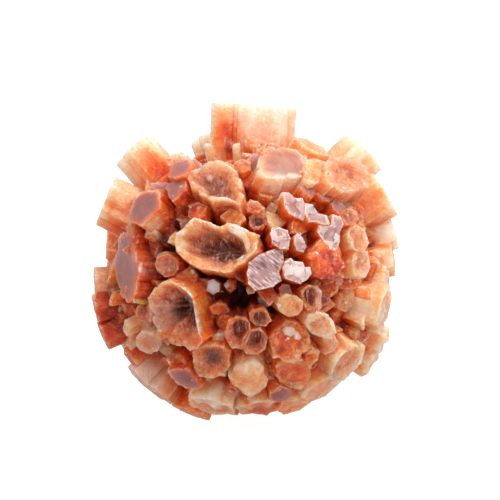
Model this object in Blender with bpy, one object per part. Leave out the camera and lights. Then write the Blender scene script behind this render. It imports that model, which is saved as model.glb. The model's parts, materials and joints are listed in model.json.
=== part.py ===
"""Aragonite crystal cluster: a ball of stubby six-sided crystals grown together from one centre.

Every crystal is a blunt prism that starts inside a small core and ends in a flat, tilted or hollow
end face. The crystals of the side that is seen first are placed one by one. The others, on the far
side and in the gaps, are placed by rule wherever there is room. All of them are joined into one
solid. It rests on a small flat spot: the end of the crystal that points straight down.

Lengths are in metres, except in the list of crystals. There they are in millimetres from the ball's
centre, along the three directions of somebody who looks down on the cluster's front: across to the
right, up, and out towards the eye.
"""

import math
import random
from dataclasses import dataclass

import bmesh
import bpy
from mathutils import Matrix, Vector

MM = 0.001
CENTRE_HEIGHT = 22.5 * MM
LOOK_DOWN = math.radians(40)
CORE_RADIUS = 14.5 * MM
CORE_DETAIL = 1
CORE_LUMPS = 0.07
ROOT_DISTANCE = 9.5 * MM
ROOT_SHARE = 0.84
SIDES = 6
CORNER_PLAY = 0.09
BALL_RADIUS = 24.0 * MM
FLOOR_GAP = 0.8 * MM
UPRIGHT = 0.85
STONE_COLOUR = (0.66, 0.27, 0.13, 1.0)
STONE_ROUGHNESS = 0.3

# The hollow in a crystal's end, as shares of the width and of the hollow's depth: a flat rim,
# then two steps of wall
RIM_SHARE = 0.09
WALL_STEPS = ((0.05, 0.4), (0.10, 0.6))

# Directions of the front view in the world
ACROSS = Vector((1.0, 0.0, 0.0))
UP = Vector((0.0, math.sin(LOOK_DOWN), math.cos(LOOK_DOWN)))
OUT = Vector((0.0, -math.cos(LOOK_DOWN), math.sin(LOOK_DOWN)))
CENTRE = Vector((0.0, 0.0, CENTRE_HEIGHT))


@dataclass
class Crystal:
    """One prism, by the middle of its end face as seen from the front, and its cross-section.

    flat is the section's height over its width, twist turns it, hollow is the depth of the end's
    pit over the width (below zero the end is raised), and lean tips the end face across and up.
    """

    name: str
    across: float
    up: float
    out: float
    width: float
    flat: float = 1.0
    twist: float = 0.0
    hollow: float = 0.0
    lean: tuple = (0.0, 0.0)


TOP = [
    Crystal("top slab", 1.4, 26.2, -1.0, 14.6, flat=0.66),
    Crystal("white tip", -6.2, 21.8, -6.0, 2.6),
    Crystal("white tip behind", -7.6, 21.0, -8.5, 2.2),
    Crystal("upper left block", -18.4, 17.9, -3.0, 9.2, flat=0.85, twist=20),
    Crystal("upper mauve end", -10.4, 16.6, 13.5, 4.4, flat=0.8, twist=25, lean=(0.1, -0.1)),
    Crystal("mauve end", -10.7, 13.5, 16.6, 4.4, flat=0.85, twist=5, lean=(0.1, -0.1)),
    Crystal("bright hollow", -4.7, 14.4, 18.7, 9.8, flat=0.78, twist=12, hollow=0.16),
    Crystal("great pale end", 7.0, 17.2, 15.2, 10.2, flat=0.82, twist=18, hollow=0.06, lean=(0.0, -0.05)),
    Crystal("pale sliver", 12.3, 16.3, 13.0, 4.4, twist=10),
    Crystal("top back block", 10.4, 19.8, 6.0, 6.0, twist=20),
    Crystal("ringed end", 16.1, 15.6, 10.6, 8.8, flat=0.9, twist=8, hollow=0.10),
    Crystal("top right block", 18.2, 18.5, -3.0, 9.2, flat=0.9, twist=25),
    Crystal("right pale band", 21.7, 12.8, 1.0, 8.8, flat=0.9, twist=12),
    Crystal("top brown facet", -0.4, 16.6, 16.2, 3.0, hollow=0.05),
]

LEFT = [
    Crystal("left pale block", -21.2, 10.4, 1.0, 9.2, flat=0.95, twist=8, lean=(0.0, 0.1)),
    Crystal("left mauve end", -15.5, 10.4, 15.0, 7.0, flat=0.85, twist=15, lean=(0.1, 0.0)),
    Crystal("tall mauve end", -18.9, 1.2, 9.8, 11.8, flat=0.95, lean=(0.10, 0.0)),
    Crystal("dusky eye", -12.0, 1.6, 19.0, 4.4, twist=10, hollow=0.12),
    Crystal("left edge block", -23.3, -1.2, 2.0, 5.2),
    Crystal("left striped block", -23.2, -5.2, 2.8, 5.0, twist=30),
    Crystal("left low block", -22.0, -9.4, 3.0, 4.8, twist=10),
    Crystal("open box", -11.3, -6.1, 19.4, 12.8, flat=0.88, twist=12, hollow=0.3, lean=(0.18, 0.0)),
    Crystal("button", -15.1, -10.3, 13.2, 4.4, twist=8, hollow=0.06),
    Crystal("low left tooth", -17.6, -13.0, 5.0, 4.2),
    Crystal("low left rod", -16.3, -16.0, 4.0, 5.6, twist=12),
    Crystal("low left rod two", -13.5, -18.3, 4.5, 5.6),
    Crystal("low left rod three", -8.3, -21.4, 3.0, 6.2, twist=18),
    Crystal("lens end", -9.5, -16.3, 14.0, 5.6, flat=0.85, lean=(0.0, 0.1)),
    Crystal("orange block", -10.4, -13.2, 15.6, 3.8, twist=15),
]

MIDDLE = [
    Crystal("great hollow", -4.5, 4.4, 22.9, 14.4, flat=0.64, twist=4, hollow=0.24, lean=(0.12, -0.05)),
    Crystal("amber crumb", -7.2, 9.6, 19.6, 3.2),
    Crystal("beige chip", -2.0, 9.2, 21.0, 4.0, flat=0.9, twist=20),
    Crystal("dark chip", -3.1, 11.2, 19.2, 3.0, hollow=0.1),
    Crystal("dusky end", 1.4, 10.7, 20.4, 4.0, flat=0.8, twist=15, hollow=0.06),
    Crystal("dusky pit", 2.2, 8.3, 21.0, 3.0, hollow=0.25),
    Crystal("mirror one", 7.6, 11.0, 19.9, 5.0, flat=0.85, twist=35, lean=(0.0, 0.18)),
    Crystal("mirror two", 10.7, 9.4, 19.6, 4.2, flat=0.8, twist=10, lean=(0.1, 0.1)),
    Crystal("mirror three", 13.5, 6.6, 18.8, 6.0, flat=0.85, twist=20, lean=(0.22, 0.0)),
    Crystal("mirror four", 5.3, 5.6, 22.4, 4.2, flat=0.9, twist=10, lean=(-0.1, -0.08)),
    Crystal("mirror chip", 8.5, 5.1, 21.4, 2.7),
    Crystal("scratched mirror", 3.3, 0.8, 23.8, 6.4, twist=8, lean=(-0.16, -0.22)),
    Crystal("cracked mirror", 8.3, 0.8, 22.6, 5.0, flat=0.85, twist=30, lean=(0.0, -0.22)),
    Crystal("grey facet", 6.4, -2.4, 22.0, 2.6),
    Crystal("high chip one", 9.6, 12.7, 17.9, 2.8, lean=(0.0, -0.1)),
    Crystal("high chip two", 12.1, 12.1, 16.9, 3.0, twist=20, lean=(0.0, -0.1)),
    Crystal("high chip three", 14.1, 10.3, 16.4, 2.9, lean=(0.0, -0.1)),
    Crystal("red pit", 16.4, 9.2, 15.2, 3.6, hollow=0.15),
    Crystal("amber body", 12.2, 2.2, 19.6, 6.6, twist=15, hollow=-0.1),
    Crystal("pink spots", 17.2, 5.6, 15.4, 4.8, twist=10, hollow=0.08),
    Crystal("pink spots below", 17.6, 1.6, 15.4, 4.8, twist=20, hollow=0.08),
    Crystal("pale button", 7.3, -4.7, 22.3, 4.2, flat=0.95, twist=12),
    Crystal("square hollow", 10.7, -3.6, 20.7, 4.4, hollow=0.22),
    Crystal("small hollow", 2.0, -6.5, 22.4, 3.8, hollow=0.28),
    Crystal("twin hollow left", -0.9, -9.0, 21.8, 5.0, twist=25, hollow=0.24),
    Crystal("twin hollow right", 1.6, -10.2, 21.2, 4.6, hollow=0.24),
    Crystal("white chip", -4.8, -2.0, 20.6, 2.2, lean=(-0.2, -0.2)),
    Crystal("dark gem", -2.4, -2.0, 19.8, 2.5, twist=20, hollow=-0.2),
    Crystal("shard", 3.6, -4.0, 19.6, 2.2, flat=0.7, twist=30),
]

LOW = [
    Crystal("low dark hollow", -5.0, -13.4, 18.5, 6.4, flat=0.95, hollow=0.14),
    Crystal("pale chisel", 0.6, -16.0, 17.0, 6.4, flat=0.95, twist=14, hollow=-0.15),
    Crystal("broken end", -5.3, -20.0, 10.4, 8.2, flat=0.9, lean=(0.0, 0.12)),
    Crystal("bottom end", 2.6, -20.3, 9.6, 8.6, flat=0.9, twist=10, lean=(0.0, 0.12)),
    Crystal("bottom bump", 5.4, -18.2, 13.4, 4.0, twist=15),
    Crystal("veined end", 7.5, -15.5, 15.4, 6.2, flat=0.95, twist=10, hollow=0.05),
    Crystal("glint block", 6.8, -10.2, 19.9, 7.2, flat=0.9, twist=15, lean=(0.0, -0.25)),
    Crystal("pink corner", 11.7, -8.2, 18.9, 5.6, flat=0.95, hollow=0.05),
    Crystal("fin", 10.2, -12.4, 17.2, 2.6, flat=1.2, twist=10),
    Crystal("low right block", 15.6, -13.4, 11.8, 7.8, flat=0.95, twist=25, hollow=0.06),
    Crystal("low right foot", 11.4, -17.6, 10.4, 6.0),
    Crystal("low right heel", 7.6, -20.0, 9.2, 5.6, twist=20),
    Crystal("right edge lobe", 21.4, -10.6, 1.5, 5.6, twist=5),
    Crystal("right low lobe", 19.6, -13.6, 1.0, 5.4, twist=15),
    Crystal("right great block", 21.4, -5.4, 8.0, 8.2, flat=0.95, hollow=0.04, lean=(-0.12, 0.0)),
    Crystal("right edge block", 23.0, 2.6, 2.0, 5.2),
    Crystal("right striped block", 21.8, -1.0, 5.5, 4.8, twist=20),
    Crystal("right white block", 23.2, 6.8, 0.0, 5.4),
]

FOOT_WIDTH = 12.0 * MM


@dataclass
class Growth:
    """A round of crystals placed by rule, from the widest to those that only fill gaps.

    outmost is how far round to the front they grow, from -1 behind the ball to 1 before it.
    """

    tries: int
    widths: tuple
    reaches: tuple
    spacing: float
    outmost: float
    hollow_chance: float


GROWTH_SEED = 31
GROWTHS = (
    Growth(260, (8.5 * MM, 11.0 * MM), (23.2 * MM, 25.2 * MM), 0.90, -0.15, 0.45),
    Growth(420, (5.2 * MM, 7.4 * MM), (22.0 * MM, 24.6 * MM), 0.84, -0.15, 0.35),
    Growth(480, (3.4 * MM, 4.6 * MM), (17.0 * MM, 20.5 * MM), 0.84, 1.0, 0.0),
)
# Behind the front's rim, how far a crystal of these rounds may stand out past it
VEIL_RADIUS = 20.8 * MM
HOLLOW_RANGE = (0.10, 0.28)
LEAN_PLAY = 0.14
GOLDEN_TURN = math.pi * (3.0 - math.sqrt(5.0))


def direction_frame(direction):
    """Rotation whose Z is the direction and whose X stays level in the front view."""
    side = UP.cross(direction)
    if abs(direction.dot(UP)) > UPRIGHT:
        side = ACROSS - direction * direction.dot(ACROSS)
    side.normalize()
    return Matrix((side, direction.cross(side), direction)).transposed().to_4x4()


def crystal_mesh(crystal, reach, rng):
    """A prism along Z from near the ball's centre, with its end face tilted, sunk or raised."""
    width = crystal.width * MM
    length = reach - ROOT_DISTANCE
    bm = bmesh.new()
    bmesh.ops.create_cone(
        bm, cap_ends=True, segments=SIDES, depth=length,
        radius1=width / 2 * ROOT_SHARE, radius2=width / 2,
        matrix=Matrix.Translation((0.0, 0.0, ROOT_DISTANCE + length / 2)),
    )
    plays = [1.0 + rng.uniform(-CORNER_PLAY, CORNER_PLAY) for _ in range(SIDES)]
    turn = Matrix.Rotation(math.radians(crystal.twist), 4, "Z")
    for vert in bm.verts:
        corner = round(math.atan2(vert.co.x, vert.co.y) / math.tau * SIDES) % SIDES
        vert.co.x *= plays[corner]
        vert.co.y *= plays[corner] * crystal.flat
        vert.co = turn @ vert.co
    end = max(bm.faces, key=lambda face: face.calc_center_median().z)
    for vert in end.verts:
        vert.co.z += vert.co.x * crystal.lean[0] + vert.co.y * crystal.lean[1]
    if crystal.hollow > 0:
        sink_end(bm, end, width, crystal.hollow)
    if crystal.hollow < 0:
        raise_end(bm, end, width, -crystal.hollow)
    mesh = bpy.data.meshes.new(crystal.name)
    bm.to_mesh(mesh)
    bm.free()
    return mesh


def sink_end(bm, end, width, hollow):
    """Leave a rim and step the walls of a hollow down to its floor."""
    bmesh.ops.inset_region(bm, faces=[end], thickness=width * RIM_SHARE)
    for inset, share in WALL_STEPS:
        bmesh.ops.inset_region(bm, faces=[end], thickness=width * inset)
        for vert in end.verts:
            vert.co.z -= width * hollow * share


def raise_end(bm, end, width, rise):
    """Draw the end up into a blunt chisel."""
    bmesh.ops.inset_region(bm, faces=[end], thickness=width * rise)
    for vert in end.verts:
        vert.co.z += width * rise


def place(crystal, direction, reach, collection, rng):
    """Make the crystal's object, pointing from the ball's centre along the direction."""
    crystal_object = bpy.data.objects.new(crystal.name, crystal_mesh(crystal, reach, rng))
    crystal_object.matrix_world = Matrix.Translation(CENTRE) @ direction_frame(direction)
    crystal_object.hide_render = True
    crystal_object.display_type = "WIRE"
    collection.objects.link(crystal_object)


def grow_by_rule(growth, taken, rng):
    """Crystals for the places that are still free, spread evenly over the ball."""
    grown = []
    for step in range(growth.tries):
        height = 1.0 - 2.0 * (step + 0.5) / growth.tries
        level = math.sqrt(1.0 - height * height)
        turn = step * GOLDEN_TURN
        direction = Vector((level * math.cos(turn), level * math.sin(turn), height))
        width = rng.uniform(*growth.widths)
        reach = rng.uniform(*growth.reaches)
        hollow = rng.uniform(*HOLLOW_RANGE) if rng.random() < growth.hollow_chance else 0.0
        lean = (rng.uniform(-LEAN_PLAY, LEAN_PLAY), rng.uniform(-LEAN_PLAY, LEAN_PLAY))
        twist = rng.uniform(0.0, 360.0 / SIDES)
        outward = direction.dot(OUT)
        if outward > growth.outmost:
            continue
        reach = min(reach, floor_reach(direction, width, lean), VEIL_RADIUS / math.sqrt(1.0 - outward ** 2))
        if is_free(direction, width, taken, growth.spacing):
            crystal = Crystal("grown crystal", 0.0, 0.0, 0.0, width / MM, 1.0, twist, hollow, lean)
            taken.append((direction, width))
            grown.append((crystal, direction, reach))
    return grown


def floor_reach(direction, width, lean):
    """How far a crystal may reach before its end's lowest corner comes too near the floor."""
    if direction.z >= 0:
        return math.inf
    level = math.sqrt(1.0 - direction.z ** 2)
    drop = width / 2 * (1.0 + CORNER_PLAY) * (level + abs(lean[0]) + abs(lean[1]))
    return (CENTRE_HEIGHT - FLOOR_GAP - drop) / -direction.z


def is_free(direction, width, taken, spacing):
    """Whether no crystal stands too near, judged where their ends lie on the ball."""
    for other, other_width in taken:
        gap = direction.angle(other) * BALL_RADIUS
        if gap < spacing * (width + other_width) / 2:
            return False
    return True


def core_object(collection, rng):
    """The lumpy middle that the crystals grow from."""
    bm = bmesh.new()
    bmesh.ops.create_icosphere(bm, subdivisions=CORE_DETAIL, radius=CORE_RADIUS)
    for vert in bm.verts:
        vert.co *= 1.0 + rng.uniform(-CORE_LUMPS, CORE_LUMPS)
    mesh = bpy.data.meshes.new("crystal_cluster")
    bm.to_mesh(mesh)
    bm.free()
    core = bpy.data.objects.new("crystal_cluster", mesh)
    core.location = CENTRE
    collection.objects.link(core)
    return core


def stone_material():
    """Red-brown to cream calcium carbonate with a glassy lustre."""
    material = bpy.data.materials.new("aragonite")
    material.use_nodes = True
    shader = material.node_tree.nodes["Principled BSDF"]
    shader.inputs["Base Color"].default_value = STONE_COLOUR
    shader.inputs["Roughness"].default_value = STONE_ROUGHNESS
    shader.inputs["Metallic"].default_value = 0.0
    return material


def new_collection(name):
    """A collection of that name, linked to the scene."""
    collection = bpy.data.collections.new(name)
    bpy.context.scene.collection.children.link(collection)
    return collection


def main():
    for old in list(bpy.data.objects):
        bpy.data.objects.remove(old, do_unlink=True)
    rng = random.Random(GROWTH_SEED)
    cluster = new_collection("aragonite crystal cluster")
    crystals = new_collection("crystals to join")
    core = core_object(cluster, rng)

    foot = Crystal("foot", 0.0, 0.0, 0.0, FOOT_WIDTH / MM)
    place(foot, Vector((0.0, 0.0, -1.0)), CENTRE_HEIGHT, crystals, rng)
    taken = [(Vector((0.0, 0.0, -1.0)), FOOT_WIDTH)]
    for crystal in TOP + LEFT + MIDDLE + LOW:
        end = (ACROSS * crystal.across + UP * crystal.up + OUT * crystal.out) * MM
        direction = end.normalized()
        reach = min(end.length, floor_reach(direction, crystal.width * MM, crystal.lean))
        place(crystal, direction, reach, crystals, rng)
        taken.append((direction, crystal.width * MM))
    for growth in GROWTHS:
        for crystal, direction, reach in grow_by_rule(growth, taken, rng):
            place(crystal, direction, reach, crystals, rng)

    joined = core.modifiers.new("join the crystals", "BOOLEAN")
    joined.operation = "UNION"
    joined.operand_type = "COLLECTION"
    joined.collection = crystals
    joined.solver = "EXACT"
    core.data.materials.append(stone_material())


main()
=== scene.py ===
# %% [markdown]
# # A ball of aragonite crystals
# Aragonite often grows as a free ball of stubby prisms that point away from one centre. Each prism is
# really three crystals grown through each other, so it looks six-sided and ends in a flat face or in
# a hollow with stepped walls. The frame is the solid model: this script builds the fine surface round
# the same large crystals. Three outer blocks stand one or two millimetres from their places in the
# solid, and the small crystals that fill the gaps by rule have other widths. The plan is to make every
# crystal as a closed mesh of rings, to join them with one Boolean union, and to let the numbers that
# each face carries drive the colours.

# %% The frame
import json
import math
import random
from dataclasses import dataclass

import bmesh
import bpy
import numpy as np
from mathutils import Matrix, Vector, noise
from mathutils.bvhtree import BVHTree

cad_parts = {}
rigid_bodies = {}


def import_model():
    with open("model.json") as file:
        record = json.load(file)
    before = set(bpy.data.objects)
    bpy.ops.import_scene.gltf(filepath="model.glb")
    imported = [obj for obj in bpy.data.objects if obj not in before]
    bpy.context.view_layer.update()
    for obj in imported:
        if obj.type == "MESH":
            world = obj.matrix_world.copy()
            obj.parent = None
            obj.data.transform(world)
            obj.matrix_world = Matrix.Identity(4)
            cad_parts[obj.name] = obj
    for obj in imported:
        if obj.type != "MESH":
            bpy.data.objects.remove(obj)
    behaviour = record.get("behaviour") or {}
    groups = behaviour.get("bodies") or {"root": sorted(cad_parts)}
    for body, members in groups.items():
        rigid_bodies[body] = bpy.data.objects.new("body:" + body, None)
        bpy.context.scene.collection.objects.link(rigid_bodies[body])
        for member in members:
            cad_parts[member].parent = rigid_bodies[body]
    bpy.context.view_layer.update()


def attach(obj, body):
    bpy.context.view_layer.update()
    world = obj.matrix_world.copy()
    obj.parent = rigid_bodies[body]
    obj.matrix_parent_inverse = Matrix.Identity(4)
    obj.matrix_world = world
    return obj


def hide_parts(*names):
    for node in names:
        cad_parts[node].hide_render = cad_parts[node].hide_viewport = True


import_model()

# %% [markdown]
# ## Sizes and directions
# Lengths are in metres, and MM turns millimetres into them. The cluster is described as somebody sees
# it who looks down on its front at forty degrees: across to the right, up, and out towards the eye.
# Some places are easier to give in a 500 by 500 picture of that front, counted from the left and from
# the top, and a small helper turns them into millimetres across and up.

# %% Sizes and directions
MM = 0.001
CENTRE_HEIGHT = 22.5 * MM
LOOK_DOWN = math.radians(40)

PHOTO_SIZE = 500
PIXELS_PER_MM = 6.44
BALL_PIXEL = (245, 275)
LENS = 250.0
SENSOR = 36.0
EYE_DISTANCE = PHOTO_SIZE / PIXELS_PER_MM * MM * LENS / SENSOR

ACROSS = Vector((1.0, 0.0, 0.0))
UP = Vector((0.0, math.sin(LOOK_DOWN), math.cos(LOOK_DOWN)))
OUT = Vector((0.0, -math.cos(LOOK_DOWN), math.sin(LOOK_DOWN)))
CENTRE = Vector((0.0, 0.0, CENTRE_HEIGHT))


def in_front_view(left, top):
    """How far across and up from the ball's centre a point of the picture lies."""
    across = (left - BALL_PIXEL[0]) / PIXELS_PER_MM * MM
    up = (BALL_PIXEL[1] - top) / PIXELS_PER_MM * MM
    return across, up


print("the ball's centre stands", CENTRE_HEIGHT / MM, "mm above the floor")

# %% [markdown]
# ## Looks
# The stone runs from dark red at the roots to cream at the ends, but each crystal has its own share
# of that range, and the ends of many catch a dusky mauve sheen. A look is a handful of numbers from
# 0 to 1 that the material reads later: how pale the crystal is, how far red climbs up from its root,
# how brown it is, and how mauve and how mirror-like its end is.

# %% Looks
@dataclass
class Look:
    """What colours one crystal: all from 0 to 1."""

    pale: float = 0.5
    red: float = 0.3
    brown: float = 0.0
    # How much painted mauve sheen and painted mirror-like shine the end gets.
    mauve: float = 0.0
    mirror: float = 0.0


LOOKS = {
    "cream": Look(pale=1.0, red=0.1),
    "pale": Look(pale=0.85, red=0.25),
    "peach": Look(pale=0.7, red=0.3),
    "peach mauve": Look(pale=0.7, red=0.3, mauve=0.6),
    "rosy": Look(pale=0.84, red=0.15, brown=0.25, mauve=0.72),
    "tan": Look(pale=0.76, red=0.25, brown=0.45),
    "frosted": Look(pale=0.80, red=0.30, mauve=0.30),
    "amber": Look(pale=0.5, red=0.45),
    "red": Look(pale=0.3, red=0.8),
    "brown": Look(pale=0.4, red=0.3, brown=0.8),
    "brown pale": Look(pale=0.84, red=0.2, brown=0.7),
    "mauve": Look(pale=0.36, red=0.35, brown=0.35, mauve=1.0),
    "dark mauve": Look(pale=0.25, red=0.35, brown=0.6, mauve=0.9),
    "mirror": Look(pale=0.4, red=0.6, mauve=0.5, mirror=0.9),
    "scratched mirror": Look(pale=0.4, red=0.6, mauve=0.5, mirror=1.0),
}
print(len(LOOKS), "looks")

# %% [markdown]
# ## The crystals of the front
# Somebody who knows this stone knows it by its front: the slab on top, the two great hollow ends, the
# mauve ends on the left and the group of mirror-like ones. So these are placed one by one, each by the
# middle of its end face in millimetres from the ball's centre, and each has a six-sided section of a
# width, a flatness and a twist. Scattering by rule would be shorter, but the likeness would be gone.

# %% The crystals of the front
@dataclass
class Crystal:
    """One prism: where its end is, its section, its hollow, its tilt and its look."""

    name: str
    across: float
    up: float
    out: float
    width: float
    flat: float = 1.0
    twist: float = 0.0
    hollow: float = 0.0
    lean: tuple = (0.0, 0.0)
    look: str = "amber"
    lumps: float = 0.0


TOP = [
    Crystal("top slab", 1.4, 26.2, -1.0, 14.6, flat=0.66, look="cream"),
    Crystal("white tip", -6.2, 21.8, -6.0, 2.6, look="cream"),
    Crystal("white tip behind", -7.6, 21.0, -8.5, 2.2, look="cream"),
    Crystal("upper left block", -17.4, 19.6, -3.0, 8.4, flat=0.85, twist=20, look="cream"),
    Crystal("upper mauve end", -10.4, 16.6, 13.5, 4.4, flat=0.8, twist=25, lean=(0.1, -0.1), look="mauve"),
    Crystal("mauve end", -10.7, 13.5, 16.6, 4.4, flat=0.85, twist=5, lean=(0.1, -0.1), look="mauve"),
    Crystal("bright hollow", -4.7, 14.4, 18.7, 9.8, flat=0.78, twist=12, hollow=0.16, look="tan"),
    Crystal("great pale end", 7.0, 17.2, 15.2, 10.2, flat=0.82, twist=18, lean=(0.0, -0.05), look="rosy",
            lumps=0.5),
    Crystal("pale sliver", 12.3, 16.3, 13.0, 4.4, twist=10, look="peach"),
    Crystal("top back block", 10.4, 19.8, 6.0, 6.0, twist=20, look="peach"),
    Crystal("ringed end", 16.1, 15.6, 10.6, 8.8, flat=0.9, twist=8, hollow=0.07, look="tan", lumps=0.4),
    Crystal("top right block", 18.5, 19.3, -3.0, 9.2, flat=0.9, twist=25, look="cream"),
    Crystal("right pale band", 21.7, 12.8, 1.0, 8.8, flat=0.9, twist=12, look="pale"),
    Crystal("top brown facet", -0.4, 16.6, 16.2, 3.0, hollow=0.05, look="brown"),
]

LEFT = [
    Crystal("left pale block", -21.7, 11.5, 1.0, 9.2, flat=0.95, twist=8, lean=(0.0, 0.1), look="cream"),
    Crystal("left mauve end", -15.5, 10.4, 15.0, 7.0, flat=0.85, twist=15, lean=(0.1, 0.0), look="mauve"),
    Crystal("tall mauve end", -18.9, 1.2, 9.8, 11.8, flat=0.95, lean=(0.10, 0.0), look="mauve"),
    Crystal("dusky eye", -12.0, 1.6, 19.0, 4.4, twist=10, hollow=0.12, look="brown"),
    Crystal("left edge block", -23.3, -1.2, 2.0, 5.2, look="brown pale"),
    Crystal("left striped block", -23.2, -5.2, 2.8, 5.0, twist=30, look="brown"),
    Crystal("left low block", -22.0, -9.4, 3.0, 4.8, twist=10, look="brown"),
    Crystal("open box", -11.3, -6.1, 19.4, 12.8, flat=0.88, twist=12, hollow=0.3, lean=(0.18, 0.0),
            look="amber", lumps=0.5),
    Crystal("button", -15.1, -10.3, 13.2, 4.4, twist=8, hollow=0.06, look="brown pale"),
    Crystal("low left tooth", -17.6, -13.0, 5.0, 4.2, look="brown"),
    Crystal("low left rod", -16.3, -16.0, 4.0, 5.6, twist=12, look="brown pale"),
    Crystal("low left rod two", -13.5, -18.3, 4.5, 5.6, look="brown pale"),
    Crystal("low left rod three", -8.3, -21.4, 3.0, 6.2, twist=18, look="amber"),
    Crystal("lens end", -9.5, -16.3, 14.0, 5.6, flat=0.85, lean=(0.0, 0.1), look="dark mauve"),
    Crystal("orange block", -10.4, -13.2, 15.6, 3.8, twist=15, look="red"),
]

MIDDLE = [
    Crystal("great hollow", -4.5, 4.4, 22.9, 14.4, flat=0.64, twist=4, hollow=0.24, lean=(0.12, -0.05),
            look="peach"),
    Crystal("amber crumb", -7.2, 9.6, 19.6, 3.2, look="red"),
    Crystal("beige chip", -2.0, 9.2, 21.0, 4.0, flat=0.9, twist=20, look="amber"),
    Crystal("dark chip", -3.1, 11.2, 19.2, 3.0, hollow=0.1, look="dark mauve"),
    Crystal("dusky end", 1.4, 10.7, 20.4, 4.0, flat=0.8, twist=15, hollow=0.06, look="dark mauve"),
    Crystal("dusky pit", 2.2, 8.3, 21.0, 3.0, hollow=0.25, look="dark mauve"),
    Crystal("mirror one", 7.6, 11.0, 19.9, 5.0, flat=0.85, twist=35,
            lean=(0.0, 0.18), look="mirror", lumps=0.6),
    Crystal("mirror two", 10.7, 9.4, 19.6, 4.2, flat=0.8, twist=10,
            lean=(0.1, 0.1), look="mirror", lumps=0.6),
    Crystal("mirror three", 13.5, 6.6, 18.8, 6.0, flat=0.85, twist=20,
            lean=(0.22, 0.0), look="mirror", lumps=0.6),
    Crystal("mirror four", 5.3, 5.6, 22.4, 4.2, flat=0.9, twist=10,
            lean=(-0.1, -0.08), look="mirror", lumps=0.5),
    Crystal("mirror chip", 8.5, 5.1, 21.4, 2.7, look="mirror", lumps=0.5),
    Crystal("scratched mirror", 3.3, 0.8, 23.8, 6.4, twist=8, lean=(-0.16, -0.22),
            look="scratched mirror", lumps=0.25),
    Crystal("cracked mirror", 8.3, 0.8, 22.6, 5.0, flat=0.85, twist=30,
            lean=(0.0, -0.22), look="mirror", lumps=0.7),
    Crystal("grey facet", 6.4, -2.4, 22.0, 2.6, look="dark mauve"),
    Crystal("high chip one", 9.6, 12.7, 17.9, 2.8, lean=(0.0, -0.1), look="mauve"),
    Crystal("high chip two", 12.1, 12.1, 16.9, 3.0, twist=20, lean=(0.0, -0.1), look="mauve"),
    Crystal("high chip three", 14.1, 10.3, 16.4, 2.9, lean=(0.0, -0.1), look="mauve"),
    Crystal("red pit", 16.4, 9.2, 15.2, 3.6, hollow=0.15, look="red"),
    Crystal("amber body", 12.2, 2.2, 19.6, 6.6, twist=15, hollow=-0.1, look="red"),
    Crystal("pink spots", 17.2, 5.6, 15.4, 4.8, twist=10, hollow=0.08, look="frosted", lumps=1.0),
    Crystal("pink spots below", 17.6, 1.6, 15.4, 4.8, twist=20, hollow=0.08, look="frosted", lumps=1.0),
    Crystal("pale button", 7.3, -4.7, 22.3, 4.2, flat=0.95, twist=12, look="peach"),
    Crystal("square hollow", 10.7, -3.6, 20.7, 4.4, hollow=0.22, look="red"),
    Crystal("small hollow", 2.0, -6.5, 22.4, 3.8, hollow=0.28, look="red"),
    Crystal("twin hollow left", -0.9, -9.0, 21.8, 5.0, twist=25, hollow=0.24, look="red"),
    Crystal("twin hollow right", 1.6, -10.2, 21.2, 4.6, hollow=0.24, look="red"),
    Crystal("white chip", -4.8, -2.0, 20.6, 2.2, lean=(-0.2, -0.2), look="mirror"),
    Crystal("dark gem", -2.4, -2.0, 19.8, 2.5, twist=20, hollow=-0.2, look="red"),
    Crystal("shard", 3.6, -4.0, 19.6, 2.2, flat=0.7, twist=30, look="mirror"),
]

LOW = [
    Crystal("low dark hollow", -5.0, -13.4, 18.5, 6.4, flat=0.95, hollow=0.14, look="amber"),
    Crystal("pale chisel", 0.6, -16.0, 17.0, 6.4, flat=0.95, twist=14, hollow=-0.12,
            look="pale", lumps=0.15),
    Crystal("broken end", -5.3, -20.0, 10.4, 8.2, flat=0.9, lean=(0.0, 0.12), look="frosted",
            lumps=1.2),
    Crystal("bottom end", 2.6, -20.3, 9.6, 8.6, flat=0.9, twist=10, lean=(0.0, 0.12),
            look="frosted", lumps=1.0),
    Crystal("bottom bump", 5.4, -18.2, 13.4, 4.0, twist=15, look="mauve", lumps=1.0),
    Crystal("veined end", 7.5, -15.5, 15.4, 6.2, flat=0.95, twist=10, look="amber", lumps=0.6),
    Crystal("glint block", 6.8, -10.2, 19.9, 7.2, flat=0.9, twist=15, lean=(0.0, -0.25), look="amber",
            lumps=1.6),
    Crystal("pink corner", 11.7, -8.2, 18.9, 5.6, flat=0.95, hollow=0.05, look="frosted", lumps=1.2),
    Crystal("fin", 10.2, -12.4, 17.2, 2.6, flat=1.2, twist=10, look="amber", lumps=1.0),
    Crystal("low right block", 15.6, -13.4, 11.8, 7.8, flat=0.95, twist=25, hollow=0.06, look="pale",
            lumps=1.0),
    Crystal("low right foot", 11.4, -17.6, 10.4, 6.0, look="frosted", lumps=1.0),
    Crystal("low right heel", 7.6, -20.0, 9.2, 5.6, twist=20, look="peach", lumps=1.0),
    Crystal("right edge lobe", 21.4, -10.6, 1.5, 5.6, twist=5, look="pale", lumps=1.4),
    Crystal("right low lobe", 19.6, -13.6, 1.0, 5.4, twist=15, look="pale", lumps=1.4),
    Crystal("right great block", 21.4, -5.4, 8.0, 8.2, flat=0.95, hollow=0.04, lean=(-0.12, 0.0),
            look="pale", lumps=0.5),
    Crystal("right edge block", 23.0, 2.6, 2.0, 5.2, look="peach"),
    Crystal("right striped block", 21.8, -1.0, 5.5, 4.8, twist=20, look="pale"),
    Crystal("right white block", 23.2, 6.8, 0.0, 5.4, look="cream"),
]
print(len(TOP + LEFT + MIDDLE + LOW), "crystals placed one by one")

# %% [markdown]
# ## The ends that face the front
# No two big crystals have the same outline. The ones that face the front get their corners one by
# one, by where each corner lies in the picture of the front. A modeller could also cut such ends with
# knives from wide blocks, but corners that are given as points keep the same crystal inside them, and
# each one can be moved by itself.

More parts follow.
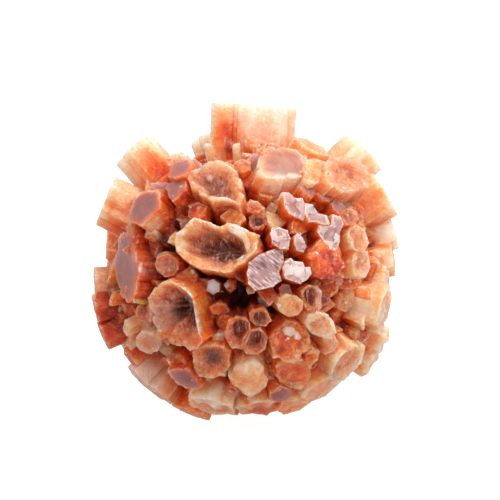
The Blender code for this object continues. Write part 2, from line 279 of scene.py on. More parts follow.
# %% The ends that face the front
OUTLINES = {
    "upper mauve end": (
        (172, 166), (178, 160), (190, 157), (192, 166), (186, 175), (175, 178), (168, 176),
    ),
    "mauve end": (
        (168, 183), (176, 179), (186, 180), (186, 189), (179, 196), (172, 201), (168, 196), (166, 188),
    ),
    "bright hollow": (
        (187, 177), (191, 170), (200, 167), (209, 161), (220, 160), (229, 165), (237, 171), (242, 181),
        (244, 195), (239, 205), (231, 199), (222, 197), (212, 200), (200, 194), (190, 186),
    ),
    "great pale end": (
        (262, 151), (268, 146), (282, 147), (296, 149), (304, 156), (306, 166), (302, 176), (285, 178),
        (266, 178), (257, 172), (258, 160),
    ),
    "pale sliver": (
        (306, 159), (316, 158), (326, 162), (328, 172), (321, 183), (311, 183), (305, 176),
    ),
    "ringed end": (
        (327, 161), (335, 157), (346, 155), (358, 160), (367, 167), (371, 176), (369, 187), (358, 191),
        (345, 191), (333, 187), (325, 177),
    ),
    "left mauve end": (
        (141, 192), (148, 189), (151, 191), (157, 189), (160, 193), (160, 208), (154, 213), (148, 220),
        (141, 226), (131, 222), (128, 217), (131, 207), (134, 198),
    ),
    "tall mauve end": (
        (118, 241), (121, 233), (127, 230), (131, 234), (134, 250), (139, 263), (139, 276), (136, 290),
        (133, 303), (127, 303), (122, 298), (118, 288), (115, 272), (113, 266),
    ),
    "dusky eye": (
        (156, 258), (160, 254), (168, 253), (174, 257), (178, 262), (178, 269), (173, 276), (164, 277),
        (157, 272), (154, 264),
    ),
    "open box": (
        (147, 298), (154, 288), (162, 282), (170, 280), (178, 284), (187, 290), (193, 297), (195, 309),
        (196, 322), (199, 334), (204, 340), (197, 349), (190, 351), (176, 346), (158, 339), (153, 324),
    ),
    "button": (
        (135, 338), (141, 331), (151, 332), (160, 338), (161, 345), (157, 352), (147, 354), (139, 350),
        (135, 345),
    ),
    "lens end": (
        (167, 371), (176, 369), (187, 370), (194, 376), (202, 387), (197, 389), (187, 389), (178, 385),
        (172, 379),
    ),
    "great hollow": (
        (193, 217), (200, 219), (211, 222), (219, 227), (227, 223), (238, 225), (247, 230), (255, 233),
        (258, 241), (257, 250), (249, 256), (245, 262), (237, 266), (230, 272), (224, 273), (212, 270),
        (200, 269), (190, 264), (182, 258), (176, 251), (174, 242), (176, 233), (182, 229), (188, 222),
    ),
    "beige chip": (
        (220, 216), (230, 208), (242, 210), (246, 219), (240, 225), (227, 223),
    ),
    "dark chip": (
        (212, 202), (218, 197), (228, 198), (233, 203), (229, 210), (217, 211),
    ),
    "dusky end": (
        (243, 203), (250, 199), (259, 202), (265, 208), (258, 213), (247, 211),
    ),
    "dusky pit": (
        (249, 217), (256, 211), (265, 213), (269, 221), (263, 229), (254, 230), (249, 224),
    ),
    "mirror one": (
        (282, 192), (289, 192), (293, 197), (303, 198), (306, 205), (305, 215), (304, 220), (296, 217),
        (289, 213), (285, 206),
    ),
    "mirror two": (
        (305, 203), (313, 204), (318, 213), (328, 216), (330, 224), (326, 226), (318, 222), (309, 222),
        (305, 213),
    ),
    "mirror three": (
        (333, 214), (341, 216), (344, 224), (340, 232), (340, 242), (336, 251), (330, 249), (323, 241),
        (318, 231), (319, 225), (331, 225),
    ),
    "mirror four": (
        (270, 233), (272, 227), (280, 227), (288, 230), (291, 238), (289, 249), (281, 249), (272, 243),
    ),
    "mirror chip": (
        (294, 236), (298, 233), (303, 238), (307, 246), (304, 252), (297, 250), (294, 243),
    ),
    "scratched mirror": (
        (249, 262), (257, 256), (268, 251), (275, 249), (283, 251), (284, 262), (279, 272), (282, 281),
        (274, 287), (264, 289), (255, 291), (248, 284), (247, 272),
    ),
    "cracked mirror": (
        (283, 268), (285, 262), (291, 258), (294, 261), (303, 262), (305, 267), (311, 267), (312, 274),
        (307, 280), (301, 284), (293, 281), (285, 278),
    ),
    "grey facet": (
        (279, 288), (283, 284), (290, 285), (293, 297), (281, 297),
    ),
    "red pit": (
        (342, 210), (350, 207), (357, 211), (360, 219), (355, 225), (347, 225), (342, 219),
    ),
    "pale button": (
        (279, 298), (287, 294), (297, 296), (303, 301), (303, 310), (297, 316), (288, 317), (280, 312),
        (277, 305),
    ),
    "square hollow": (
        (302, 291), (309, 285), (318, 286), (323, 291), (321, 301), (323, 308), (318, 313), (308, 312),
        (303, 303),
    ),
    "small hollow": (
        (249, 314), (253, 309), (264, 308), (269, 314), (272, 321), (266, 327), (256, 326), (250, 321),
    ),
    "twin hollow left": (
        (224, 333), (228, 321), (236, 317), (246, 318), (250, 324), (251, 333), (248, 341), (242, 350),
        (232, 349), (226, 341),
    ),
    "twin hollow right": (
        (243, 338), (250, 331), (261, 328), (268, 338), (266, 349), (257, 356), (246, 354), (241, 347),
    ),
    "white chip": (
        (208, 281), (213, 279), (219, 284), (219, 292), (213, 295), (206, 291),
    ),
    "dark gem": (
        (223, 284), (229, 279), (236, 281), (236, 289), (231, 293), (226, 290),
    ),
    "low dark hollow": (
        (192, 352), (200, 346), (213, 345), (224, 347), (230, 354), (230, 366), (225, 377), (211, 379),
        (199, 377), (193, 369),
    ),
    "pale chisel": (
        (228, 376), (236, 367), (245, 363), (256, 362), (264, 368), (268, 380), (266, 388), (258, 394),
        (250, 398), (242, 394), (237, 387), (231, 384),
    ),
    "veined end": (
        (276, 367), (283, 361), (292, 357), (303, 360), (312, 366), (311, 376), (308, 385), (301, 390),
        (290, 388), (281, 384), (276, 377),
    ),
    "pink corner": (
        (309, 315), (320, 312), (329, 315), (334, 322), (337, 333), (333, 340), (324, 339), (312, 334),
        (306, 325),
    ),
}
print(len(OUTLINES), "ends with their own outline")

# %% [markdown]
# ## The slab, the splinters and the pits
# The slab on top has two thin cracks down its front, so its whole section is given in millimetres, with
# a notch for each crack: an even six-sided section can't hold them. Two flakes of cream stone lean on
# the rim of the great hollow, and small bright ones glint lower down. They could be painted, but a
# raised edge is what makes them glint, so each is a thin crystal that only just comes out of the stone.
# Some ends have a pit that isn't in their middle: wall is how much of the way in its slope takes.

# %% The slab, the splinters and the pits
SECTIONS = {
    "top slab": (
        (-6.6, -3.9), (-3.25, -4.0), (-3.1, -3.66), (-2.98, -4.05), (-2.6, -4.05), (-2.5, -3.76),
        (-2.4, -4.1), (4.3, -4.3), (6.6, -1.4), (6.3, 3.6), (-2.0, 4.6), (-6.4, 2.2),
    ),
}

SPLINTERS = [
    Crystal("cream lobe", -0.6, 5.4, 23.4, 4.6, lean=(0.10, -0.05), look="pale", lumps=0.6),
    Crystal("cream splinter", -0.4, 2.6, 23.6, 2.0, lean=(0.2, -0.1), look="cream"),
    Crystal("glint one", 6.8, -8.9, 20.9, 2.0, lean=(0.2, -0.5), look="cream", lumps=0.5),
    Crystal("glint two", 8.2, -9.9, 20.3, 1.4, lean=(-0.2, -0.4), look="cream"),
    Crystal("bright shard", 2.7, -4.1, 20.6, 1.5, flat=1.6, twist=15, lean=(0.3, 0.2), look="mirror"),
]
OUTLINES.update({
    "cream lobe": (
        (226, 222), (236, 224), (248, 230), (256, 236), (258, 247), (253, 255), (247, 252), (244, 243),
        (238, 236), (229, 231),
    ),
    "cream splinter": (
        (238, 259), (243, 255), (250, 256), (246, 262), (240, 265),
    ),
    "glint one": (
        (282, 330), (287, 327), (294, 328), (296, 333), (291, 337), (285, 335),
    ),
    "glint two": (
        (294, 334), (299, 333), (302, 337), (299, 340), (295, 339),
    ),
})


@dataclass
class Pit:
    """A hollow's middle, from the left and from the top, and how far its wall slopes in."""

    left: float
    top: float
    wall: float


PITS = {
    "bright hollow": Pit(215, 185, 0.62),
    "ringed end": Pit(349, 172, 0.75),
    "dusky eye": Pit(170, 266, 0.6),
    "open box": Pit(184, 312, 0.74),
    "button": Pit(148, 343, 0.7),
    "great hollow": Pit(226, 248, 0.66),
    "dark chip": Pit(222, 204, 0.4),
    "dusky pit": Pit(260, 221, 0.5),
    "red pit": Pit(350, 216, 0.5),
    "square hollow": Pit(310, 294, 0.45),
    "small hollow": Pit(259, 318, 0.5),
    "twin hollow left": Pit(241, 330, 0.5),
    "twin hollow right": Pit(254, 339, 0.5),
    "low dark hollow": Pit(213, 358, 0.6),
}
print(len(SPLINTERS), "splinters and", len(PITS), "ends with their own pit")

# %% [markdown]
# ## The crystals of the far side
# The picture shows only the front, so the far side and the gaps are filled by rule, as the real thing
# grows: crystals start everywhere, and the widest win. The golden turn spreads places evenly over a
# ball with no poles and no rows. The widest crystals get the first choice, then the middling ones,
# then small ones in what is left, and one only grows where no other stands too near.

# %% The crystals of the far side
@dataclass
class Growth:
    """A round of crystals placed by rule; outmost is how far round to the front they grow."""

    tries: int
    widths: tuple
    reaches: tuple
    spacing: float
    outmost: float
    hollow_chance: float


SIDES = 6
CORNER_PLAY = 0.09
BALL_RADIUS = 24.0 * MM
VEIL_RADIUS = 20.8 * MM
FLOOR_GAP = 0.8 * MM
FOOT_WIDTH = 12.0 * MM
CORE_DRAWS = 12
GROWTH_SEED = 31
GROWTHS = (
    Growth(260, (8.5 * MM, 11.0 * MM), (23.2 * MM, 25.2 * MM), 0.90, -0.15, 0.45),
    Growth(420, (5.2 * MM, 7.4 * MM), (22.0 * MM, 24.6 * MM), 0.84, -0.15, 0.35),
    Growth(480, (3.4 * MM, 4.6 * MM), (17.0 * MM, 20.5 * MM), 0.84, 1.0, 0.0),
)
HOLLOW_RANGE = (0.10, 0.28)
LEAN_PLAY = 0.14
GOLDEN_TURN = math.pi * (3.0 - math.sqrt(5.0))
GROWN_LOOKS = ("cream", "pale", "peach", "peach", "peach mauve", "amber", "amber", "mauve", "brown pale")


def golden_direction(step, count):
    """One of many directions that the golden turn spreads evenly over a ball."""
    height = 1.0 - 2.0 * (step + 0.5) / count
    level = math.sqrt(1.0 - height * height)
    turn = step * GOLDEN_TURN
    return Vector((level * math.cos(turn), level * math.sin(turn), height))


def floor_reach(direction, width, lean):
    """How far a crystal may reach before its end's lowest corner comes too near the floor."""
    if direction.z >= 0:
        return math.inf
    level = math.sqrt(1.0 - direction.z ** 2)
    drop = width / 2 * (1.0 + CORNER_PLAY) * (level + abs(lean[0]) + abs(lean[1]))
    return (CENTRE_HEIGHT - FLOOR_GAP - drop) / -direction.z


def veil_reach(direction):
    """How far a crystal may reach before the front view shows it past the placed ones."""
    return VEIL_RADIUS / math.sqrt(1.0 - direction.dot(OUT) ** 2)


def is_free(direction, width, taken, spacing):
    """Whether no crystal stands too near, judged where their ends lie on the ball."""
    for other, other_width in taken:
        gap = direction.angle(other) * BALL_RADIUS
        if gap < spacing * (width + other_width) / 2:
            return False
    return True


def end_middle(crystal):
    """The middle of a placed crystal's end, from the ball's centre."""
    return (ACROSS * crystal.across + UP * crystal.up + OUT * crystal.out) * MM


def grow_by_rule(growth, taken, rng):
    """Crystals for the places that are still free, with their directions and reaches."""
    grown = []
    for step in range(growth.tries):
        direction = golden_direction(step, growth.tries)
        width = rng.uniform(*growth.widths)
        reach = rng.uniform(*growth.reaches)
        hollow = rng.uniform(*HOLLOW_RANGE) if rng.random() < growth.hollow_chance else 0.0
        lean = (rng.uniform(-LEAN_PLAY, LEAN_PLAY), rng.uniform(-LEAN_PLAY, LEAN_PLAY))
        twist = rng.uniform(0.0, 360.0 / SIDES)
        if direction.dot(OUT) > growth.outmost:
            continue
        reach = min(reach, floor_reach(direction, width, lean), veil_reach(direction))
        if is_free(direction, width, taken, growth.spacing):
            look = GROWN_LOOKS[step % len(GROWN_LOOKS)] if growth.outmost < 0 else "red"
            crystal = Crystal("grown", 0.0, 0.0, 0.0, width / MM, 1.0, twist, hollow, lean, look)
            taken.append((direction, width))
            grown.append((crystal, direction, reach))
    return grown


def all_crystals():
    """Every crystal with its direction, its reach and how far each of its corners stands out."""
    rng = random.Random(GROWTH_SEED)
    # The solid model's core takes the first draws. Without them, the wide crystals wouldn't match it.
    for _ in range(CORE_DRAWS):
        rng.random()

    def corner_plays():
        return [1.0 + rng.uniform(-CORNER_PLAY, CORNER_PLAY) for _ in range(SIDES)]

    down = Vector((0.0, 0.0, -1.0))
    foot = Crystal("foot", 0.0, 0.0, 0.0, FOOT_WIDTH / MM, look="brown pale")
    found = [(foot, down, CENTRE_HEIGHT, corner_plays())]
    taken = [(down, FOOT_WIDTH)]
    for crystal in TOP + LEFT + MIDDLE + LOW:
        end = end_middle(crystal)
        direction = end.normalized()
        reach = min(end.length, floor_reach(direction, crystal.width * MM, crystal.lean))
        found.append((crystal, direction, reach, corner_plays()))
        taken.append((direction, crystal.width * MM))
    for growth in GROWTHS:
        for crystal, direction, reach in grow_by_rule(growth, taken, rng):
            found.append((crystal, direction, reach, corner_plays()))
    return found


CRYSTALS = all_crystals()
print(len(CRYSTALS), "crystals in all")

# %% [markdown]
# ## Crumbs
# Between the big crystals sit small late ones, which lean every way and catch the light in the gaps.
# They could be copies of one crystal set on the surface by geometry nodes, but copies only touch the
# stone and show as copies. Here each is a crystal of its own that grows from inside the ball, placed by
# the same golden turn with many more places. A few free places keep the deep holes open: each is given
# by its place in the picture of the front and its width in millimetres. Crumbs are too small for the
# solid model. The flakes and splinters that were placed one by one join them here.

# %% Crumbs
CRUMB_SEED = 5
CRUMB_TRIES = 1500
CRUMB_WIDTHS = (1.4 * MM, 4.0 * MM)
CRUMB_REACHES = (19.5 * MM, 23.0 * MM)
CRUMB_FLATS = (0.7, 1.0)
CRUMB_LEAN = 0.7
CRUMB_PLAY = 0.35
CRUMB_SPACING = 0.66
CRUMB_SIDE = -0.2
FREE_PLACES = (
    (242, 301, 5.4), (165, 246, 3.4), (139, 310, 2.6), (174, 350, 3.6), (206, 273, 2.8), (224, 277, 2.6),
)
FREE_DEPTH = 21.0 * MM
CRUMB_LOOKS = ("red", "red", "red", "amber", "amber", "amber", "peach", "frosted", "dark mauve")


def free_places():
    """The places that stay open, as if a crystal of that width stood there."""
    found = []
    for left, top, width in FREE_PLACES:
        across, up = in_front_view(left, top)
        out = math.sqrt(FREE_DEPTH ** 2 - across ** 2 - up ** 2)
        found.append(((ACROSS * across + UP * up + OUT * out).normalized(), width * MM))
    return found


def crumbs():
    """Small crystals for the gaps, each with its direction, reach and corners."""
    rng = random.Random(CRUMB_SEED)
    taken = [(direction, crystal.width * MM) for crystal, direction, _, _ in CRYSTALS]
    taken += free_places()
    found = []
    for step in range(CRUMB_TRIES):
        direction = golden_direction(step, CRUMB_TRIES)
        width = rng.uniform(*CRUMB_WIDTHS)
        reach = rng.uniform(*CRUMB_REACHES)
        lean = (rng.uniform(-CRUMB_LEAN, CRUMB_LEAN), rng.uniform(-CRUMB_LEAN, CRUMB_LEAN))
        twist = rng.uniform(0.0, 360.0 / SIDES)
        look = rng.choice(CRUMB_LOOKS)
        plays = [1.0 + rng.uniform(-CRUMB_PLAY, CRUMB_PLAY) for _ in range(SIDES)]
        reach = min(reach, floor_reach(direction, width, lean), veil_reach(direction))
        if direction.dot(OUT) > CRUMB_SIDE and is_free(direction, width, taken, CRUMB_SPACING):
            flat = rng.uniform(*CRUMB_FLATS)
            taken.append((direction, width))
            crumb = Crystal("crumb", 0.0, 0.0, 0.0, width / MM, flat, twist, 0.0, lean, look)
            found.append((crumb, direction, reach, plays))
    return found


def splinters():
    """The placed flakes and splinters, with their directions and reaches."""
    found = []
    for crystal in SPLINTERS:
        end = end_middle(crystal)
        found.append((crystal, end.normalized(), end.length, [1.0] * SIDES))
    return found


CRYSTALS += crumbs() + splinters()
print(len(CRYSTALS), "crystals with the crumbs")

# %% [markdown]
# ## The section of a crystal
# The side faces of aragonite twins aren't plain: they carry fine ribs along the crystal, and grooves
# where two twins meet. One closed line of points can hold all of that, because ribs and grooves keep
# their place from root to end. The line starts from the section's corners, and each side is divided
# evenly, set back a little here and there for a rib, and notched for a groove. An outline that was
# read off a picture is carried to the end's plane along the line of sight.

# %% The section of a crystal
UPRIGHT = 0.85
LEAST_POINTS = 2
RIB_DEPTH = 0.05 * MM
RIB_CHANCE = 0.6
RIB_STEPS = (0.0, 0.0, 1.0, 2.0)
GROOVE_SHARE = 0.05
GROOVE_WIDTH = 6.0 * MM
GROOVE_POINTS = 5
GROOVE_CHANCE = 0.6
GROOVE_FLANK = 0.5


def direction_frame(direction):
    """Rotation whose Z is the direction and whose X stays level in the front view."""
    side = UP.cross(direction)
    if abs(direction.dot(UP)) > UPRIGHT:
        side = ACROSS - direction * direction.dot(ACROSS)
    side.normalize()
    return Matrix((side, direction.cross(side), direction)).transposed()


def even_corners(crystal, plays):
    """The corners of a six-sided section, counter-clockwise in its own plane."""
    half = crystal.width * MM / 2
    turn = Matrix.Rotation(math.radians(crystal.twist), 2)
    corners = []
    for corner in reversed(range(SIDES)):
        angle = corner * math.tau / SIDES
        reach = half * plays[corner]
        corners.append(turn @ Vector((math.sin(angle) * reach, math.cos(angle) * reach * crystal.flat)))
    return corners


def on_end_plane(left, top, crystal, direction, reach):
    """Where the line of sight through a point of the picture meets the end's plane, in the section."""
    axes = direction_frame(direction)
    eye = OUT * EYE_DISTANCE
    across, up = in_front_view(left, top)
    sight = ACROSS * across + UP * up - eye
    normal = direction - axes.col[0] * crystal.lean[0] - axes.col[1] * crystal.lean[1]
    spot = eye + sight * ((direction * reach - eye).dot(normal) / sight.dot(normal))
    return Vector((spot.dot(axes.col[0]), spot.dot(axes.col[1])))


def section_corners(crystal, direction, reach, plays):
    """The section's corners, counter-clockwise."""
    if crystal.name in SECTIONS:
        return [Vector(corner) * MM for corner in SECTIONS[crystal.name]]
    if crystal.name not in OUTLINES:
        return even_corners(crystal, plays)
    corners = [on_end_plane(*point, crystal, direction, reach) for point in OUTLINES[crystal.name]]
    turning = sum(a.x * b.y - a.y * b.x for a, b in zip(corners, corners[1:] + corners[:1]))
    return corners if turning > 0 else corners[::-1]


def ribbed_line(corners, width, spacing, rng):
    """The section's line with its ribs and grooves, as points in its plane."""
    line = []
    for start, end in zip(corners, corners[1:] + corners[:1]):
        side = end - start
        inward = Vector((-side.y, side.x)).normalized()
        count = max(LEAST_POINTS, round(side.length / spacing))
        groove = 0
        if width > GROOVE_WIDTH and count > GROOVE_POINTS and rng.random() < GROOVE_CHANCE:
            groove = rng.randrange(2, count - 1)
        rib = 0.0
        for step in range(count):
            if step and rng.random() < RIB_CHANCE:
                rib = rng.choice(RIB_STEPS) * RIB_DEPTH
            back = rib if step else 0.0
            if groove and abs(step - groove) < 2:
                back += width * GROOVE_SHARE * (1.0 - GROOVE_FLANK * abs(step - groove))
            line.append(start + side * (step / count) + inward * back)
    return line


# %% [markdown]
# ## The rings of a crystal
# A crystal is the section's line repeated: up the sides from the root, over the rim, and inwards over
# the end face to its middle. A flat end has low terraces. A hollow end goes down in uneven steps,
# because the rim grew faster than the middle. Sculpting or displacement could do this on one crystal,
# but rings of points do it on all of them, and the rim stays as crisp as broken stone. Each ring also
# says how to paint itself: how deep it lies below the end, how far it is into a hollow, and how near
# it is to the rim.

# %% The rings of a crystal
@dataclass
class Ring:
    """One turn of the section's line: its share of the line, its place and its paint."""

    share: float
    sink: float
    part: str
    rim: float = 0.0
    hollow: float = 0.0
    rough: float = 0.0


ROOT_DISTANCE = 9.5 * MM
SIDE_STEPS = (7.5, 5.4, 3.7, 2.4, 1.3, 0.5)
CHAMFER = 0.10 * MM
FLAT_SHARES = (0.92, 0.82, 0.71, 0.60, 0.48, 0.36, 0.24, 0.12)
PLAIN_SHARES = (0.80, 0.50, 0.20)
FLAT_ROUGH = 0.01
FLAT_RIM = 0.6
RISE_SHARE = 0.3
RIM_BAND = 0.05
WALL_CURVE = (
    (0.0, 0.0), (0.12, 0.09), (0.24, 0.19), (0.36, 0.33), (0.48, 0.45),
    (0.60, 0.60), (0.74, 0.76), (0.86, 0.93), (1.0, 1.0),
)
PLAIN_WALL = 0.45
WALL_RIM = 0.5
WALL_ROUGH = (0.02, 0.07)
HOLLOW_FLOOR = ((0.65, 1.02, 0.08), (0.30, 1.05, 0.05))
WIDE_HOLLOW = 9.0


def wall_curve(crystal, fine):
    """How a hollow goes down from its rim to its floor, with more steps where it is wide."""
    if not fine:
        return WALL_CURVE[::2]
    if crystal.width <= WIDE_HOLLOW:
        return WALL_CURVE
    halves = [((a[0] + b[0]) / 2, (a[1] + b[1]) / 2) for a, b in zip(WALL_CURVE, WALL_CURVE[1:])]
    return sorted(WALL_CURVE + tuple(halves))


def hollow_rings(crystal, fine):
    """The rings of a hollow, from below its rim to the middle of its floor."""
    wall = PITS[crystal.name].wall if crystal.name in PITS else PLAIN_WALL
    width = crystal.width * MM
    depth = crystal.hollow * width
    rings = []
    for far, down in wall_curve(crystal, fine):
        share = (1.0 - RIM_BAND) * (1.0 - far * wall)
        rough = WALL_ROUGH[0] + WALL_ROUGH[1] * far
        rings.append(Ring(share, down * depth, "hollow", WALL_RIM - far, down, rough))
    floor_share = rings[-1].share
    for narrower, deeper, rough in HOLLOW_FLOOR:
        rings.append(Ring(floor_share * narrower, depth * deeper, "hollow", 0.0, 1.0, rough))
    return rings


def flat_rings(crystal, fine):
    """The rings of a flat end, which rises a little where its hollow is negative."""
    width = crystal.width * MM
    rise = -crystal.hollow * width
    rings = []
    for share in FLAT_SHARES if fine else PLAIN_SHARES:
        climb = min(1.0, (1.0 - share) / RISE_SHARE) * rise
        rings.append(Ring(share, -climb, "end", rim=share - FLAT_RIM, rough=FLAT_ROUGH))
    return rings


def rings_of(crystal, length, fine):
    """The crystal's rings from its root to the middle of its end."""
    rings = [Ring(1.0, length, "side")]
    steps = SIDE_STEPS if fine else SIDE_STEPS[::2]
    rings += [Ring(1.0, sink * MM, "side") for sink in steps if sink * MM < length - MM]
    rings.append(Ring(1.0, CHAMFER, "side", rim=1.0))
    edge = 1.0 - CHAMFER / (crystal.width * MM / 2)
    rings.append(Ring(edge, 0.0, "hollow" if crystal.hollow > 0 else "end", rim=1.0))
    return rings + (hollow_rings(crystal, fine) if crystal.hollow > 0 else flat_rings(crystal, fine))


print(len(SIDE_STEPS) + 2, "rings up a placed crystal's side")

# %% [markdown]
# ## Broken, stepped and lumpy
# Rings alone would look turned on a lathe. Stone chips along its rims, grows in low terraces on flat
# ends, and is lumpy where it grew fast. A displacement on the finished skin would blur the edges
# between crystals, so each point is moved before the crystals are joined. Noise that reads a point's
# own place does it, so neighbours move together and no seam opens.

# %% Broken, stepped and lumpy
NOISE_SEEDS = 50.0
CHIP_SEEDS = 100.0
SMOOTH_REACH = 3
CHIP_LIMIT = 0.42 * MM
CHIP_WIDTH = 1.3 * MM
CHIP_START = 0.18
CHIP_GAIN = 1.6
BESIDE_RIM = 0.3
TERRACE = 0.20 * MM
TERRACE_WIDTH = 0.35
TERRACE_STEPS = 3.0
PLATE_RISE = 1.4
RIM_EASE = 4.0
HEART_EASE = 3.0
LUMP_WIDTH = 1.7 * MM
LUMP_RISE = 0.75 * MM
LUMP_EASE = 3.0
LEDGE_PLAY = 0.010
NEAR_RIM = 0.97
# How deep a hollow must be for its floor to get the full painted shade; its lumps follow the same depth.
DARK_HOLLOW = 0.22
WOBBLE_WIDTH = 1.1 * MM
WOBBLE_STEP = 6.0
SHARE_WOBBLE = 2.0
SINK_WOBBLE = 2.5
SWING_WIDTH = 3.0 * MM
SWING_GAIN = 1.3


def smoothed(line):
    """The section's line without its ribs, for the walls of a hollow."""
    wide = range(-SMOOTH_REACH, SMOOTH_REACH + 1)
    count = len(line)
    calm = []
    for i in range(count):
        calm.append(sum((line[(i + step) % count] for step in wide), Vector((0.0, 0.0))) / len(wide))
    return calm


def chip_line(line, rng):
    """How much is broken off the rim at each point of the section's line."""
    seed = rng.uniform(0.0, CHIP_SEEDS)
    chips = []
    for point in line:
        where = Vector((point.x, point.y, seed * MM)) / CHIP_WIDTH
        chips.append(max(0.0, noise.noise(where) - CHIP_START) * CHIP_GAIN * CHIP_LIMIT)
    return chips


def chipped_share(ring):
    """How much of the rim's chips a ring takes: all on the rim, half beside it."""
    if ring.rim == 1.0:
        return 1.0
    return 0.5 if ring.rim > BESIDE_RIM or ring.sink == SIDE_STEPS[-1] * MM else 0.0


def terrace_at(x, y, seed, crystal):
    """The height of the low steps on a flat end, or of the plates of a cracked one."""
    size = crystal.width * MM * TERRACE_WIDTH
    level = noise.noise(Vector((x / size, y / size, seed)))
    height = math.floor(level * TERRACE_STEPS + 0.5) / TERRACE_STEPS
    return height * TERRACE * (PLATE_RISE if LOOKS[crystal.look].mirror else 1.0)


def lump_at(x, y, seed):
    """The height of the lumps on a rough end or in a hollow."""
    return noise.noise(Vector((x, y, seed * MM)) / LUMP_WIDTH) * LUMP_RISE


def crystal_rows(crystal, reach, line, heart, fine, rng):
    """The places of all the rings' points, and the rings themselves."""
    length = reach - ROOT_DISTANCE
    seed = rng.uniform(0.0, NOISE_SEEDS)
    chips = chip_line(line, rng)
    calm = crystal.name == "foot"
    inner = smoothed(line) if fine else line
    rows = []
    for ring in rings_of(crystal, length, fine):
        on_side = ring.part == "side"
        on_wall = ring.part == "hollow" and ring.rim < 1.0
        grown = 1.0 - ring.sink / length
        share = ring.share
        if on_side and 0.0 < grown < NEAR_RIM:
            share *= 1.0 + rng.uniform(-LEDGE_PLAY, LEDGE_PLAY)
        uneven = not on_side and share < NEAR_RIM and not calm
        stepped = min(1.0, (1.0 - share) * RIM_EASE, share * HEART_EASE)
        lumpy = min(1.0, crystal.hollow / DARK_HOLLOW) * ring.hollow
        lumpy += crystal.lumps * min(1.0, (1.0 - share) * LUMP_EASE)
        chipped = 0.0 if calm else chipped_share(ring)
        row = []
        for index, flat in enumerate(inner if on_wall else line):
            height = ring.share * WOBBLE_STEP * MM + seed * MM
            wobble = noise.noise(Vector((flat.x, flat.y, height)) / WOBBLE_WIDTH)
            own_share = share * (1.0 + ring.rough * SHARE_WOBBLE * wobble)
            if on_wall:
                swing = noise.noise(Vector((flat.x, flat.y, seed * MM)) / SWING_WIDTH)
                own_share -= SWING_GAIN * swing * (1.0 - own_share) * own_share ** 2
            spot = flat * own_share + heart * (0.0 if on_side else 1.0 - own_share)
            sink = ring.sink * (1.0 + ring.rough * SINK_WOBBLE * wobble)
            if uneven:
                sink -= terrace_at(spot.x, spot.y, seed, crystal) * stepped
                sink += lump_at(spot.x, spot.y, seed) * lumpy
            sink += chips[index] * chipped
            tip = spot.x * crystal.lean[0] + spot.y * crystal.lean[1]
            row.append((spot.x, spot.y, reach - sink + tip * (grown if on_side else 1.0)))
        rows.append((ring, row))
    return rows


print("chips go", CHIP_LIMIT / MM, "mm deep, and terraces are", TERRACE / MM, "mm high")

# %% [markdown]
# ## One crystal as a closed mesh
# Rows of points become strips of four-sided faces, closed by a fan at the root and at the end. A
# crystal could be unwrapped and painted, but hundreds of them would need hundreds of maps. Here each
# corner of each face carries a few numbers that the material reads. They are on corners and not on
# points, because the union shares points between crystals but never faces.

# %% One crystal as a closed mesh
PLACE, GROWTH, FACES, LOOK, SHEEN = "place", "growth", "faces", "look", "sheen"
FINE_SPACING = 0.38 * MM
COARSE_SPACING = 0.9 * MM
HEART_PLAY = 0.06
PATTERN_STEP = 13.7


def fan_and_strips(rows):
    """Points, faces and, for each face, the ring that it belongs to."""
    count = len(rows[0][1])
    points = [point for _, row in rows for point in row]
    faces, owners = [], []
    for low in range(len(rows) - 1):
        for step in range(count):
            after = (step + 1) % count
            a, b = low * count, (low + 1) * count
            faces.append((a + step, a + after, b + after, b + step))
            owners.append(low + 1)
    for row_index, flipped in ((0, True), (len(rows) - 1, False)):
        row = np.array(rows[row_index][1])
        centre = len(points)
        points.append(tuple(row.mean(axis=0)))
        first = row_index * count
        for step in range(count):
            pair = (first + step, first + (step + 1) % count)
            faces.append((pair[1], pair[0], centre) if flipped else (*pair, centre))
            owners.append(row_index)
    return points, faces, owners


def paint(mesh, name, values):
    """Keep three numbers for each corner of each face."""
    layer = mesh.attributes.new(name, "FLOAT_VECTOR", "CORNER")
    layer.data.foreach_set("vector", np.asarray(values, dtype=np.float32).ravel())


def paint_crystal(mesh, number, crystal, reach, rows, shell, tone):
    """Give each corner of each face its place, its growth, its part of the crystal and its look."""
    points, faces, owners = shell
    count = len(rows[0][1])
    corner_points = np.empty(len(mesh.loops), dtype=np.int64)
    mesh.loops.foreach_get("vertex_index", corner_points)
    spots = np.array(points) / MM
    row_of = np.minimum(np.arange(len(points)) // count, len(rows) - 1)
    row_of[count * len(rows)] = 0
    rims = np.array([max(ring.rim, 0.0) for ring, _ in rows])[row_of]
    hollows = np.array([ring.hollow for ring, _ in rows])[row_of] * min(1.0, crystal.hollow / DARK_HOLLOW)
    shares = np.array([ring.share for ring, _ in rows])[row_of]
    shares[-1] = 0.0
    sizes = [len(face) for face in faces]
    on_end = np.repeat([float(rows[owner][0].part == "end") for owner in owners], sizes)
    in_hollow = np.repeat([float(rows[owner][0].part == "hollow") for owner in owners], sizes)
    tips = spots[:, 0] * crystal.lean[0] + spots[:, 1] * crystal.lean[1]
    depths = reach / MM + tips - spots[:, 2]
    look = LOOKS[crystal.look]
    paint(mesh, PLACE, (spots + (number * PATTERN_STEP, 0.0, 0.0))[corner_points])
    paint(mesh, GROWTH, np.stack([depths, hollows, rims], axis=1)[corner_points])
    paint(mesh, FACES, np.stack([on_end, in_hollow, shares[corner_points]], axis=1))
    paint(mesh, LOOK, np.tile((look.pale, look.red, look.brown), (len(corner_points), 1)))
    paint(mesh, SHEEN, np.tile((look.mauve, look.mirror, tone), (len(corner_points), 1)))


